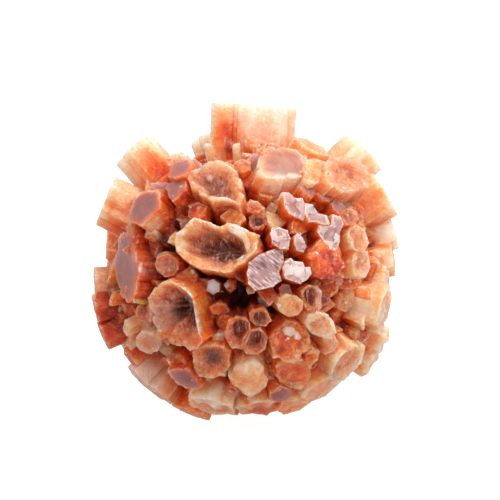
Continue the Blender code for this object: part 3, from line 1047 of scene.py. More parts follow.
def crystal_mesh(number, crystal, direction, reach, plays, rng):
    """The closed, painted mesh of one crystal, with Z along it."""
    fine = crystal.name not in ("grown", "crumb")
    corners = section_corners(crystal, direction, reach, plays)
    line = ribbed_line(corners, crystal.width * MM, FINE_SPACING if fine else COARSE_SPACING, rng)
    heart = Vector((rng.uniform(-HEART_PLAY, HEART_PLAY), rng.uniform(-HEART_PLAY, HEART_PLAY)))
    heart = heart * crystal.width * MM
    if crystal.name in PITS:
        pit = PITS[crystal.name]
        heart = on_end_plane(pit.left, pit.top, crystal, direction, reach)
    rows = crystal_rows(crystal, reach, line, heart, fine, rng)
    shell = fan_and_strips(rows)
    mesh = bpy.data.meshes.new(f"crystal_{number}")
    mesh.from_pydata(shell[0], [], shell[1])
    paint_crystal(mesh, number, crystal, reach, rows, shell, rng.random())
    return mesh


print("each corner carries", ", ".join((PLACE, GROWTH, FACES, LOOK, SHEEN)))

# %% [markdown]
# ## Growing them together
# The crystals overlap at their roots, as the real ones grew into each other. Left as they are, the
# walls inside would catch the light that wanders through the stone, and a remesh would round off every
# edge. A Boolean union makes one skin of them and keeps the edges sharp. The quick solver is right
# here, because every crystal is closed. A lumpy ball in the middle closes the bottoms of the gaps.

# %% Growing them together
CORE_FINE = 5
CORE_SKIN = 18.0 * MM
CORE_BUMPS = 0.09
CORE_BUMP_WIDTH = 1.6 * MM
CORE_DEPTH = 5.0
CORE_LOOK = Look(pale=0.6, red=0.4)
CORE_TONE = 0.5
SHARP_ANGLE = math.radians(24)
SHAPE_SEED = 7


def core_mesh():
    """The rough middle of the ball, which shows only at the bottom of the deepest gaps."""
    shaped = bmesh.new()
    bmesh.ops.create_icosphere(shaped, subdivisions=CORE_FINE, radius=CORE_SKIN)
    for vert in shaped.verts:
        vert.co *= 1.0 + CORE_BUMPS * noise.cell(vert.co / CORE_BUMP_WIDTH) - CORE_BUMPS / 2
    mesh = bpy.data.meshes.new("core")
    shaped.to_mesh(mesh)
    shaped.free()
    count = len(mesh.loops)
    spots = np.array([mesh.vertices[loop.vertex_index].co for loop in mesh.loops]) / MM
    paint(mesh, PLACE, spots)
    paint(mesh, GROWTH, np.tile((CORE_DEPTH, 0.0, 0.0), (count, 1)))
    paint(mesh, FACES, np.tile((0.0, 0.0, 1.0), (count, 1)))
    paint(mesh, LOOK, np.tile((CORE_LOOK.pale, CORE_LOOK.red, CORE_LOOK.brown), (count, 1)))
    paint(mesh, SHEEN, np.tile((CORE_LOOK.mauve, CORE_LOOK.mirror, CORE_TONE), (count, 1)))
    return mesh


def grow_cluster():
    """All crystals and the core joined into one object."""
    rng = random.Random(SHAPE_SEED)
    seeds = bpy.data.collections.new("crystals to join")
    bpy.context.scene.collection.children.link(seeds)
    for number, (crystal, direction, reach, plays) in enumerate(CRYSTALS):
        mesh = crystal_mesh(number, crystal, direction, reach, plays, rng)
        piece = bpy.data.objects.new(mesh.name, mesh)
        piece.matrix_world = Matrix.Translation(CENTRE) @ direction_frame(direction).to_4x4()
        seeds.objects.link(piece)
    core = bpy.data.objects.new("core", core_mesh())
    core.location = CENTRE
    bpy.context.scene.collection.objects.link(core)
    union = core.modifiers.new("union", "BOOLEAN")
    union.operation = "UNION"
    union.operand_type = "COLLECTION"
    union.collection = seeds
    union.solver = "MANIFOLD"
    bpy.context.view_layer.update()
    evaluated = core.evaluated_get(bpy.context.evaluated_depsgraph_get())
    skin = bpy.data.meshes.new_from_object(evaluated)
    skin.transform(Matrix.Translation(CENTRE))
    for piece in list(seeds.objects) + [core]:
        bpy.data.objects.remove(piece, do_unlink=True)
    bpy.data.collections.remove(seeds)
    skin.name = "aragonite_cluster"
    return bpy.data.objects.new("aragonite_cluster", skin)


cluster = grow_cluster()
bpy.context.scene.collection.objects.link(cluster)
cluster.data.shade_smooth()
cluster.data.set_sharp_from_angle(angle=SHARP_ANGLE)
cluster.data.calc_loop_triangles()
print(len(cluster.data.loop_triangles), "triangles in the joined cluster")

# %% [markdown]
# ## Stains, painted shade and painted light
# Iron came in with water along the cracks, so the stains don't follow the crystals: a corner here is
# nearly red, and a face there stayed white. The same spots also paint light and shade: red below
# nothing lightens sides that lie in shade, large white spots are paler stone and small ones painted
# glints, and dark spots are painted shade that makes the bottoms of the deep gaps and pits almost black.
# Noise alone can't put a stain on the right corner, and an image texture would tie the stone to one
# picture. So the stains are a short list of places, as a painter would dab them. Each is put on the
# surface where a line of sight from the front meets it, fades over its radius, and stays on the stone
# from every side.

# %% Stains and shade
@dataclass
class Spot:
    """A place from the left and from the top, its radius in mm, and how red, dark and white it is."""

    left: float
    top: float
    radius: float
    # Red above nothing is an iron stain, and red below nothing is painted light on a side in shade. Dark is
    # painted shade in the gaps and pits. White is paler stone in large spots and a painted glint in small
    # ones.
    red: float = 0.0
    dark: float = 0.0
    white: float = 0.0


# Iron stains, with painted light, painted glints and painted shade among them.
SPOTS = (
    Spot(250, 110, 3.0, white=0.20), Spot(270, 118, 5.5, white=0.35), Spot(156, 141, 3.4, white=0.25),
    Spot(223, 126, 1.6, red=0.30), Spot(226, 140, 2.9, red=0.50), Spot(231, 130, 1.6, red=0.22),
    Spot(232, 146, 1.4, red=0.35), Spot(236, 132, 0.8, red=0.5), Spot(262, 154, 3.2, red=0.25),
    Spot(288, 152, 2.4, red=0.20), Spot(130, 172, 2.6, white=0.20), Spot(145, 160, 3.2, red=0.12),
    Spot(155, 165, 2.6, red=0.10), Spot(160, 177, 1.7, red=0.20), Spot(162, 168, 2.2, red=0.12),
    Spot(210, 178, 0.6, white=0.6), Spot(214, 180, 4.5, dark=0.12), Spot(219, 187, 0.9, dark=0.35),
    Spot(222, 160, 2.4, red=-0.35), Spot(249, 193, 2.0, red=0.5), Spot(282, 186, 3.6, red=-0.25),
    Spot(284, 163, 4.0, dark=0.10), Spot(300, 190, 2.4, red=-0.15), Spot(349, 172, 1.6, red=0.35),
    Spot(349, 171, 0.8, red=0.2), Spot(350, 178, 4.5, dark=0.06), Spot(380, 178, 2.8, white=0.25),
    Spot(103, 205, 1.8, red=0.20), Spot(104, 226, 2.0, red=0.25), Spot(108, 205, 1.6, red=0.15),
    Spot(115, 233, 1.3, red=0.45), Spot(118, 226, 1.8, red=0.45), Spot(118, 205, 4.5, red=0.12),
    Spot(122, 200, 3.0, white=0.10), Spot(150, 228, 2.2, red=-0.4), Spot(162, 222, 2.6, red=-0.5),
    Spot(172, 222, 2.0, red=0.30), Spot(192, 205, 2.4, red=0.25), Spot(226, 213, 2.0, red=0.15),
    Spot(238, 228, 1.6, red=-0.2, white=0.3), Spot(256, 224, 1.2, dark=0.5),
    Spot(310, 237, 1.8, red=0.35), Spot(362, 216, 2.2, red=0.40), Spot(384, 230, 2.4, white=0.35),
    Spot(140, 269, 0.6, white=0.6), Spot(147, 262, 2.6, dark=0.15), Spot(150, 270, 1.8, red=0.2),
    Spot(152, 272, 3.0, dark=0.12), Spot(165, 243, 2.0, dark=0.9), Spot(181, 243, 2.4, red=-0.1),
    Spot(200, 272, 1.8, dark=0.85), Spot(222, 278, 1.6, dark=0.85), Spot(236, 275, 1.6, red=0.5),
    Spot(242, 257, 1.1, red=-0.2, white=0.6), Spot(259, 240, 1.2, dark=0.6),
    Spot(297, 270, 1.6, white=0.35), Spot(330, 268, 3.2, red=0.25), Spot(366, 278, 2.8, red=-0.10),
    Spot(370, 243, 1.0, red=0.5, dark=0.3), Spot(380, 262, 3.0, red=-0.20, white=0.10),
    Spot(139, 310, 1.6, dark=0.7), Spot(160, 312, 3.4, white=0.16), Spot(178, 311, 1.4, dark=0.45),
    Spot(184, 288, 0.55, white=0.5), Spot(184, 312, 1.8, dark=0.4), Spot(190, 294, 0.55, white=0.5),
    Spot(193, 303, 0.55, white=0.6), Spot(195, 312, 0.55, white=0.6), Spot(213, 287, 1.3, white=0.9),
    Spot(226, 285, 0.6, white=0.8), Spot(238, 313, 1.6, dark=0.9), Spot(241, 304, 3.0, dark=1.0),
    Spot(242, 292, 1.8, dark=1.0), Spot(245, 285, 1.2, red=0.4), Spot(260, 304, 1.2, dark=0.8),
    Spot(262, 301, 0.8, white=0.7), Spot(325, 302, 1.5, red=0.6, dark=0.2),
    Spot(338, 306, 3.0, red=-0.15), Spot(352, 306, 4.4, red=-0.45),
    Spot(382, 310, 2.6, red=-0.15, white=0.2), Spot(110, 325, 3.0, red=0.15),
    Spot(172, 350, 2.6, dark=0.6), Spot(197, 321, 0.55, white=0.6), Spot(199, 330, 0.55, white=0.5),
    Spot(213, 357, 1.5, dark=0.60), Spot(280, 340, 3.4, red=0.20), Spot(282, 349, 0.8, dark=0.5),
    Spot(289, 331, 0.9, white=0.5), Spot(300, 346, 0.8, dark=0.5),
    Spot(320, 350, 1.6, red=0.7, dark=0.3), Spot(334, 345, 2.6, red=0.10),
    Spot(342, 322, 2.0, red=0.45), Spot(345, 325, 1.6, red=0.25), Spot(357, 320, 3.0, red=0.10),
    Spot(372, 350, 3.2, red=-0.10), Spot(148, 372, 4.0, red=-0.30), Spot(186, 377, 1.9, dark=0.30),
    Spot(212, 398, 3.5, red=-0.2), Spot(222, 387, 1.0, white=0.5), Spot(230, 392, 0.7, white=0.5),
    Spot(238, 397, 0.7, white=0.4), Spot(238, 380, 2.0, red=0.2), Spot(255, 380, 3.2, red=0.10),
    Spot(294, 373, 3.4, red=0.15), Spot(236, 409, 3.0, red=0.30), Spot(262, 411, 4.5, red=0.45),
)


# The spots' red, their painted shade, and their white with its painted glints, as one attribute.
SPOTS_OF_STAIN_AND_LIGHT = "stains_and_painted_light"
FADE_GAIN = 1.6


def spot_places(mesh):
    """Where the line of sight through each spot first meets the mesh."""
    corners = [vert.co for vert in mesh.vertices]
    tree = BVHTree.FromPolygons(corners, [face.vertices for face in mesh.polygons])
    eye = OUT * EYE_DISTANCE
    places = []
    for spot in SPOTS:
        across, up = in_front_view(spot.left, spot.top)
        place, _, _, _ = tree.ray_cast(CENTRE + eye, (ACROSS * across + UP * up - eye).normalized())
        places.append(place or CENTRE)
    return places


def stain(mesh):
    """Add up the spots at each point of the mesh."""
    spots = np.empty(len(mesh.vertices) * 3, dtype=np.float32)
    mesh.vertices.foreach_get("co", spots)
    spots = spots.reshape(-1, 3)
    amounts = np.zeros_like(spots)
    for spot, place in zip(SPOTS, spot_places(mesh)):
        nearness = 1.0 - np.linalg.norm(spots - np.array(place), axis=1) / (spot.radius * MM)
        fade = np.clip(nearness, 0.0, 1.0) * FADE_GAIN
        amounts += np.minimum(fade, 1.0)[:, None] * np.array((spot.red, spot.dark, spot.white))
    layer = mesh.attributes.new(SPOTS_OF_STAIN_AND_LIGHT, "FLOAT_VECTOR", "POINT")
    layer.data.foreach_set("vector", amounts.astype(np.float32).ravel())


stain(cluster.data)
print(len(SPOTS), "stains and shades")

# %% [markdown]
# ## A short way to write nodes
# A material is a tree of nodes. Nodes can be laid out by hand in the editor, or made one call at a
# time, which takes four lines for each. The helper below adds a node, sets it and joins its inputs in
# one line, so that the materials further down read like sums.

# %% A short way to write nodes
NODE_SPACING = 190.0


class Tree:
    """Adds nodes to one node tree and gives back their output sockets."""

    def __init__(self, tree):
        self.tree = tree

    def add(self, kind, sockets=(), **settings):
        """One node with its settings and its inputs, which are numbers or other nodes' outputs."""
        made = self.tree.nodes.new("ShaderNode" + kind)
        made.location = (NODE_SPACING * len(self.tree.nodes), 0.0)
        for name, value in settings.items():
            setattr(made, name, value)
        for key, value in dict(sockets).items():
            self.feed(made.inputs[key], value)
        return made

    def feed(self, socket, value):
        """Join a socket to another node's output, or set it to a plain value."""
        if isinstance(value, bpy.types.NodeSocket):
            self.tree.links.new(value, socket)
        else:
            socket.default_value = value

    def math(self, operation, *values, clamp=False):
        """One sum on numbers."""
        return self.add("Math", enumerate(values), operation=operation, use_clamp=clamp).outputs[0]

    def times(self, *values):
        """The product of any count of numbers."""
        product = values[0]
        for value in values[1:]:
            product = self.math("MULTIPLY", product, value)
        return product

    def plus(self, *values, clamp=False):
        """The sum of any count of numbers."""
        total = values[0]
        for value in values[1:-1]:
            total = self.math("ADD", total, value)
        return self.math("ADD", total, values[-1], clamp=clamp)

    def spread(self, value, low, high, to_low=0.0, to_high=1.0):
        """A value moved from one range to another, and kept inside it."""
        sockets = {"Value": value, "From Min": low, "From Max": high, "To Min": to_low, "To Max": to_high}
        return self.add("MapRange", sockets).outputs[0]

    def mix(self, share, first, second, blend="MIX"):
        """Two colours mixed by a share. A Mix node's colour sockets are its inputs 6 and 7 and output 2."""
        made = self.add("Mix", data_type="RGBA", blend_type=blend)
        for index, value in ((0, share), (6, first), (7, second)):
            self.feed(made.inputs[index], value)
        return made.outputs[2]

    def stretch(self, vector, scale):
        """A place with each of its directions stretched by its own factor."""
        return self.add("VectorMath", {0: vector, 1: scale}, operation="MULTIPLY").outputs[0]

    def noise(self, vector, scale, detail=2.0, rough=0.5, bend=0.0):
        """Cloudy noise from 0 to 1."""
        sockets = {"Vector": vector, "Scale": scale, "Detail": detail, "Roughness": rough,
                   "Distortion": bend}
        return self.add("TexNoise", sockets).outputs["Fac"]

    def ramp(self, value, stops):
        """A value turned into a colour by a row of stops."""
        made = self.add("ValToRGB", {"Fac": value})
        band = made.color_ramp
        while len(band.elements) < len(stops):
            band.elements.new(0.5)
        for element, (position, colour) in zip(band.elements, stops):
            element.position = position
            element.color = colour
        return made.outputs["Color"]

    def parts(self, vector):
        """A vector's three numbers."""
        return self.add("SeparateXYZ", {"Vector": vector}).outputs[:]


def new_group(name, inputs, outputs):
    """An empty node group with named sockets, and the sockets inside it."""
    tree = bpy.data.node_groups.new(name, "ShaderNodeTree")
    for label, kind in inputs:
        tree.interface.new_socket(label, in_out="INPUT", socket_type="NodeSocket" + kind)
    for label, kind in outputs:
        tree.interface.new_socket(label, in_out="OUTPUT", socket_type="NodeSocket" + kind)
    entry = tree.nodes.new("NodeGroupInput")
    leave = tree.nodes.new("NodeGroupOutput")
    return Tree(tree), entry.outputs, leave.inputs


def use_group(tree, group, **values):
    """A node group placed in a tree, with its named inputs."""
    made = tree.add("Group", node_tree=group)
    for label, value in values.items():
        tree.feed(made.inputs[label.capitalize()], value)
    return made.outputs


# %% [markdown]
# ## How the colour runs through a crystal
# Iron stains the oldest stone, near the root, and the last layers grew clean, so every crystal runs
# from dark red through orange to cream. A gradient along each would look printed. So the stain is a
# sum: the depth below the end, some cloudiness, faint streaks along the crystal, a sugary grain, and a
# redder, darker band near the ball's middle, which is partly the red of the roots and partly painted
# shade for the deep gaps, and one ramp turns the sum into a colour. It is a group, with named inputs,
# so the sum can be tried on any crystal by itself. Places are in millimetres, so a noise of scale 2 has
# half-millimetre grains.

# %% How the colour runs through a crystal
CREAM = (0.96, 0.735, 0.555, 1.0)
PEACH = (0.93, 0.425, 0.195, 1.0)
ORANGE = (0.86, 0.18, 0.022, 1.0)
RED = (0.66, 0.072, 0.008, 1.0)
DEEP = (0.32, 0.024, 0.005, 1.0)
STAIN_STOPS = ((0.0, CREAM), (0.25, PEACH), (0.52, ORANGE), (0.80, RED), (1.0, DEEP))
STREAK_STRETCH = (1.0, 1.0, 0.14)
STREAK_NOISE = (0.9, 3.0, 0.6)
CLOUD_NOISE = (0.32, 3.0, 0.6, 0.8)
SUGAR_NOISE = (2.2, 3.0, 0.75)
STREAKS_BY_PALE = (0.4, 0.8, 0.5, 0.15)
CLOUDS_BY_PALE = (0.5, 0.9, 1.0, 0.6)
SUGAR_BY_PALE = (0.5, 0.9, 0.45, 0.12)
STAIN_RUN = 12.0
PALE_RUN = 10.0
PALEST = 1.05
PALE_SHARE = 0.9
ROOT_AND_GAP_SHADE_RANGE = (20.5, 14.0)
ROOT_RED_AND_GAP_SHADE = 0.15
LOOK_RED = 0.8


def swing(tree, pattern, amount):
    """A pattern from 0 to 1 as a swing to both sides of nothing."""
    return tree.times(tree.math("SUBTRACT", pattern, 0.5), amount)


def stain_group():
    """Stone colour from depth, paleness, redness and nearness to the middle."""
    tree, given, put = new_group(
        "stone stain",
        (("Place", "Vector"), ("Depth", "Float"), ("Pale", "Float"), ("Red", "Float"), ("Shift", "Float")),
        (("Colour", "Color"),),
    )
    place, pale = given["Place"], given["Pale"]
    streaks = tree.noise(tree.stretch(place, STREAK_STRETCH), *STREAK_NOISE)
    clouds = tree.noise(place, *CLOUD_NOISE)
    sugar = tree.noise(place, *SUGAR_NOISE)
    along = tree.parts(place)[2]
    run = tree.math("MULTIPLY_ADD", pale, PALE_RUN, STAIN_RUN)
    # Redder and darker towards the ball's middle: partly the red of the roots, partly painted shade in the
    # deep gaps.
    root = tree.spread(along, *ROOT_AND_GAP_SHADE_RANGE)
    stain = tree.plus(
        tree.math("DIVIDE", given["Depth"], run),
        tree.times(tree.math("SUBTRACT", PALEST, pale), PALE_SHARE),
        swing(tree, streaks, tree.spread(pale, *STREAKS_BY_PALE)),
        swing(tree, clouds, tree.spread(pale, *CLOUDS_BY_PALE)),
        swing(tree, sugar, tree.spread(pale, *SUGAR_BY_PALE)),
        tree.times(root, tree.plus(ROOT_RED_AND_GAP_SHADE, tree.times(given["Red"], LOOK_RED))),
        given["Shift"],
        clamp=True,
    )
    tree.tree.links.new(tree.ramp(stain, STAIN_STOPS), put["Colour"])
    return tree.tree


STAIN = stain_group()
print("a group for", STAIN.name)

# %% [markdown]
# ## Ribs, grains, scratches and plates
# Four patterns feed the colour as well as the relief, so each is a group that gives out numbers. Ribs
# are noise stretched along the crystal. Grains are cells, like sugar, with a number and a tilt for
# each. Scratches are where a stretched noise crosses its middle. Broken plates are wide cells with dark
# gaps, for the ends that mirror like foil. Tiled pictures could give the same, but they repeat, and
# they need a map laid over every crystal.

# %% Ribs, grains, scratches and plates
RIB_STRETCH = (1.0, 1.0, 0.12)
LINE_STRETCH = (0.15, 0.15, 1.0)
RIB_NOISE = (2.2, 3.0, 0.6)
GRAIN_PUSH_SCALE = 1.3
GRAIN_PUSH = (0.8, 0.8, 0.8)
GRAIN_STEP = 0.7
MIDDLE_GREY = (0.5, 0.5, 0.5)
SCRATCH_STRETCH = (1.0, 0.16, 0.16)
SCRATCH_NOISE = (3.4, 2.0, 0.55)
SCRATCH_LINE = (0.55, 0.61)
SCRATCH_GATE_NOISE = (0.45, 1.0)
SCRATCH_GATE = (0.34, 0.48)
PLATE_SCALE = 0.55
PLATE_PUSH_SCALE = 0.9
PLATE_PUSH = (1.6, 1.6, 1.6)
PLATE_GAP = (0.06, 0.02)
PLATE_GATE_NOISE = (0.8, 1.0)
PLATE_GATE = (0.42, 0.55)


def rib_group():
    """Fine ribs along a crystal and faint growth lines across it, as heights."""
    tree, given, put = new_group(
        "growth ribs",
        (("Place", "Vector"), ("Across", "Float")),
        (("Height", "Float"), ("Line", "Float")),
    )
    ribs = tree.noise(tree.stretch(given["Place"], RIB_STRETCH), *RIB_NOISE)
    lines = tree.noise(tree.stretch(given["Place"], LINE_STRETCH), *RIB_NOISE)
    tree.tree.links.new(tree.plus(ribs, tree.times(lines, given["Across"])), put["Height"])
    tree.tree.links.new(lines, put["Line"])
    return tree.tree


def pushed(tree, place, scale, amount):
    """A place pushed about by soft noise, so that cells read from it aren't even."""
    push = tree.stretch(tree.add("TexNoise", {"Vector": place, "Scale": scale}).outputs["Color"], amount)
    return tree.add("VectorMath", {0: place, 1: push}, operation="ADD").outputs[0]


def sugar_group():
    """Crystal grains: pebbles as a height, and for each a number and a tilt."""
    tree, given, put = new_group(
        "sugar grain",
        (("Place", "Vector"), ("Size", "Float")),
        (("Height", "Float"), ("Grain", "Float"), ("Tilt", "Vector")),
    )
    bent = pushed(tree, given["Place"], GRAIN_PUSH_SCALE, GRAIN_PUSH)
    cells = tree.add("TexVoronoi", {"Vector": bent, "Scale": given["Size"], "Randomness": 1.0})
    first, second, _ = tree.parts(cells.outputs["Color"])
    height = tree.plus(tree.times(cells.outputs["Distance"], -1.0), tree.times(first, GRAIN_STEP))
    tilt = tree.add("VectorMath", {0: cells.outputs["Color"], 1: MIDDLE_GREY}, operation="SUBTRACT")
    tree.tree.links.new(height, put["Height"])
    tree.tree.links.new(second, put["Grain"])
    tree.tree.links.new(tilt.outputs[0], put["Tilt"])
    return tree.tree


def scratch_group():
    """Short parallel scratches: a sharp mask, and the soft noise that they are cut from."""
    tree, given, put = new_group(
        "scratches",
        (("Place", "Vector"), ("Turn", "Float")),
        (("Mask", "Float"), ("Soft", "Float")),
    )
    turned = tree.add("VectorRotate", {"Vector": given["Place"], "Angle": given["Turn"]},
                      rotation_type="Z_AXIS").outputs[0]
    fine = tree.noise(tree.stretch(turned, SCRATCH_STRETCH), *SCRATCH_NOISE)
    gate = tree.spread(tree.noise(given["Place"], *SCRATCH_GATE_NOISE), *SCRATCH_GATE)
    tree.tree.links.new(tree.times(tree.spread(fine, *SCRATCH_LINE), gate), put["Mask"])
    tree.tree.links.new(fine, put["Soft"])
    return tree.tree


def plate_group():
    """Broken plates of a millimetre or so: the dark lines between them, and a shade for each."""
    tree, given, put = new_group(
        "broken plates",
        (("Place", "Vector"),),
        (("Line", "Float"), ("Shade", "Float")),
    )
    bent = pushed(tree, given["Place"], PLATE_PUSH_SCALE, PLATE_PUSH)
    gaps = tree.add("TexVoronoi", {"Vector": bent, "Scale": PLATE_SCALE}, feature="DISTANCE_TO_EDGE")
    cells = tree.add("TexVoronoi", {"Vector": bent, "Scale": PLATE_SCALE})
    gate = tree.spread(tree.noise(given["Place"], *PLATE_GATE_NOISE), *PLATE_GATE)
    lines = tree.times(tree.spread(gaps.outputs["Distance"], *PLATE_GAP), gate)
    tree.tree.links.new(lines, put["Line"])
    tree.tree.links.new(tree.parts(cells.outputs["Color"])[0], put["Shade"])
    return tree.tree


RIBS, SUGAR, SCRATCHES, PLATES = rib_group(), sugar_group(), scratch_group(), plate_group()
print("groups for", ", ".join(group.name for group in (RIBS, SUGAR, SCRATCHES, PLATES)))

# %% [markdown]
# ## What the stone's paint starts from
# The material is one, but it paints sides, flat ends with a painted sheen, hollows with a painted shade,
# mirror-like ends with a painted reflection, grains with painted glints, and spots of stain, painted
# light and painted shade, and each of these has a short cell below. All of them start from the same
# numbers: what the corners of the faces carry, and the patterns laid over them. One material for each
# kind of end would need the crystals sorted after the union, and hard borders where two kinds meet.

# %% What the stone's paint starts from
GRAINS_PER_MM = 1.9
SCRATCH_TURN = 3.1
BANDED = (0.6, 1.0)
RULED = (0.92, 0.98)
WEAR_NOISE = (3.4, 3.0, 0.65)
WORN = (0.38, 0.62)


class Skin:
    """The numbers that the faces carry and the patterns over them, as sockets of the material."""

    def __init__(self, tree):
        self.place = self.carried(tree, PLACE)
        self.depth, self.hollow, self.rim = tree.parts(self.carried(tree, GROWTH))
        self.on_end, self.in_hollow, self.share = tree.parts(self.carried(tree, FACES))
        self.pale, self.red, self.brown = tree.parts(self.carried(tree, LOOK))
        self.mauve, self.mirror, self.tone = tree.parts(self.carried(tree, SHEEN))
        # Red stain above nothing and painted light below it, painted shade, and white with painted glints.
        self.reddened, self.darkened, self.whitened_and_glints = tree.parts(self.carried(tree, SPOTS_OF_STAIN_AND_LIGHT))
        self.on_side = tree.math("SUBTRACT", tree.math("SUBTRACT", 1.0, self.on_end), self.in_hollow)
        self.sheen_end = tree.times(self.mauve, self.on_end)
        self.mirror_end = tree.times(self.mirror, self.on_end)
        self.banded = tree.spread(self.tone, *BANDED)
        self.ruled = tree.spread(self.mirror, *RULED)
        self.broken = tree.math("SUBTRACT", 1.0, self.ruled)
        self.wear = tree.noise(self.place, *WEAR_NOISE)
        self.worn = tree.spread(self.wear, *WORN)
        self.ribs = use_group(tree, RIBS, place=self.place, across=self.banded)
        self.sugar = use_group(tree, SUGAR, place=self.place, size=GRAINS_PER_MM)
        turn = tree.times(self.tone, SCRATCH_TURN)
        self.scratches = use_group(tree, SCRATCHES, place=self.place, turn=turn)
        self.plates = use_group(tree, PLATES, place=self.place)

    @staticmethod
    def carried(tree, name):
        """The socket of what the faces carry under a name."""
        return tree.add("Attribute", attribute_name=name).outputs["Vector"]


print("one grain is about", round(1.0 / GRAINS_PER_MM, 2), "mm wide")

# %% [markdown]
# ## Sides, ends and hollows
# The sides show the stain as it is, browner on some crystals, with faint lines where growth paused.
# Many flat ends carry a painted mauve sheen that thins out before the rim. Hollows get a painted shade
# that darkens as they get deeper, and bright streaks run down their walls. All three are mixes of one
# colour over another. The dark of a hollow could be left to the light alone, but in stone that glows
# from inside it comes out far too bright.

# %% Sides, ends and hollows
BROWN = (0.58, 0.43, 0.42, 1.0)
# Dusk darkens the growth lines on the sides, and is also the first painted shade in the hollows.
DUSK_LINES_AND_SHADE = (0.60, 0.205, 0.10, 1.0)
# The painted sheen of the flat ends, from mauve to slate.
MAUVE_SHEEN = (0.35, 0.12, 0.10, 1.0)
SLATE_SHEEN = (0.24, 0.11, 0.12, 1.0)
# The painted near-black shade at the bottom of a hollow.
PIT_SHADE = (0.26, 0.045, 0.026, 1.0)
GLINT = (0.88, 0.52, 0.38, 1.0)
BROWN_SHARE = 0.85
LINE_FADE = (0.45, 0.62, 0.0, 0.25)
SHEEN_NOISE = (0.5, 3.0, 0.6, 0.5)
SHEEN_FADE = (0.40, 0.62)
SHEEN_HEART = (0.97, 0.72, 0.10, 1.0)
SHEEN_SHARE = 0.92
WEAR_DEPTH = 0.7
GRAIN_DEPTH = 0.25
DUSK_SHADE_DEPTHS = (0.0, 0.55)
PIT_SHADE_DEPTHS = (0.45, 1.05)
PIT_STRETCH = (1.0, 0.22, 0.22)
PIT_NOISE = (2.2, 3.0, 0.7)
PIT_STREAKS = (0.55, 0.66)
STREAK_DEPTHS = (0.15, 0.7)
STREAK_SHARE = 0.75


def side_colour(tree, skin):
    """The stain, browned by the look, with faint growth lines on the sides."""
    stone = use_group(tree, STAIN, place=skin.place, depth=skin.depth, pale=skin.pale, red=skin.red,
                      shift=skin.reddened)
    colour = stone["Colour"]
    browned = tree.mix(1.0, colour, BROWN, "MULTIPLY")
    colour = tree.mix(tree.times(skin.brown, BROWN_SHARE), colour, browned)
    lines = tree.times(tree.spread(skin.ribs["Line"], *LINE_FADE), skin.on_side, skin.banded)
    return tree.mix(lines, colour, tree.mix(1.0, colour, DUSK_LINES_AND_SHADE, "MULTIPLY"))


def end_colour(tree, skin, colour):
    """Painted mauve sheen on the ends, thinner near the rim."""
    clouds = tree.noise(skin.place, *SHEEN_NOISE)
    painted_sheen = tree.mix(tree.spread(clouds, *SHEEN_FADE), MAUVE_SHEEN, SLATE_SHEEN)
    heart = tree.spread(skin.share, *SHEEN_HEART)
    return tree.mix(tree.times(skin.sheen_end, heart, SHEEN_SHARE), colour, painted_sheen)


def hollow_colour(tree, skin, colour):
    """Painted shade, dusk and then near-black with depth, and bright streaks down the wall."""
    depths = tree.plus(
        skin.hollow,
        swing(tree, skin.wear, WEAR_DEPTH),
        swing(tree, skin.sugar["Grain"], GRAIN_DEPTH),
    )
    # Painted shade that deepens down the hollow.
    pit = tree.mix(tree.spread(depths, *DUSK_SHADE_DEPTHS), colour, DUSK_LINES_AND_SHADE)
    pit = tree.mix(tree.spread(depths, *PIT_SHADE_DEPTHS), pit, PIT_SHADE)
    drawn = tree.noise(tree.stretch(skin.place, PIT_STRETCH), *PIT_NOISE)
    streaks = tree.times(tree.spread(drawn, *PIT_STREAKS), tree.spread(skin.hollow, *STREAK_DEPTHS))
    pit = tree.mix(tree.times(streaks, STREAK_SHARE), pit, GLINT)
    return tree.mix(skin.in_hollow, colour, pit)


print("the darkest hollow is", PIT_SHADE[:3])

# %% [markdown]
# ## Mirror-like ends
# A few ends shine like lilac foil. On one it is ruled with fine parallel scratches, and on the others
# it is broken into plates with dark gaps between them. A metal would give the shine, but metal hides
# the red stone that shows through the gaps. So the shine is painted: lilac as a painted reflection, and
# white as painted highlights at the rim, between scratches and on some plates. The light does the rest.

# %% Mirror-like ends
# Painted reflection in lilac, and white for its painted highlights.
LILAC_SHINE = (0.41, 0.255, 0.26, 1.0)
WHITE = (0.97, 0.89, 0.83, 1.0)
CRACK = (0.16, 0.07, 0.07, 1.0)
RIM_HIGHLIGHT = (0.80, 0.96)
RIM_HIGHLIGHT_SHARE = 0.9
SOFT_SCRATCHES = (0.44, 0.36, 0.0, 0.5)
PLATE_SHADES = (0.35, 0.95, 0.0, 0.65)
SHINE_SHARE = 0.92
SCRATCH_DARK = 0.85
GAP_DARK = 0.8


def dark_lines(tree, skin):
    """Scratches on the ruled end, and gaps between plates on the broken ones."""
    scratched = tree.times(skin.scratches["Mask"], skin.ruled, SCRATCH_DARK)
    return tree.plus(scratched, tree.times(skin.plates["Line"], skin.broken, GAP_DARK))


def mirror_colour(tree, skin, colour, lines):
    """Painted lilac reflection, whitened at the rim, between scratches and from plate to plate."""
    rim = tree.times(tree.spread(skin.share, *RIM_HIGHLIGHT), skin.worn, RIM_HIGHLIGHT_SHARE)
    painted_shine = tree.mix(rim, LILAC_SHINE, WHITE)
    soft = tree.spread(skin.scratches["Soft"], *SOFT_SCRATCHES)
    painted_shine = tree.mix(tree.times(skin.ruled, soft), painted_shine, WHITE)
    plates = tree.spread(skin.plates["Shade"], *PLATE_SHADES)
    painted_shine = tree.mix(tree.times(skin.broken, plates), painted_shine, WHITE)
    colour = tree.mix(tree.times(skin.mirror_end, SHINE_SHARE), colour, painted_shine)
    return tree.mix(tree.times(lines, skin.mirror_end), colour, CRACK)


print("the foil is", LILAC_SHINE[:3], "to", WHITE[:3])

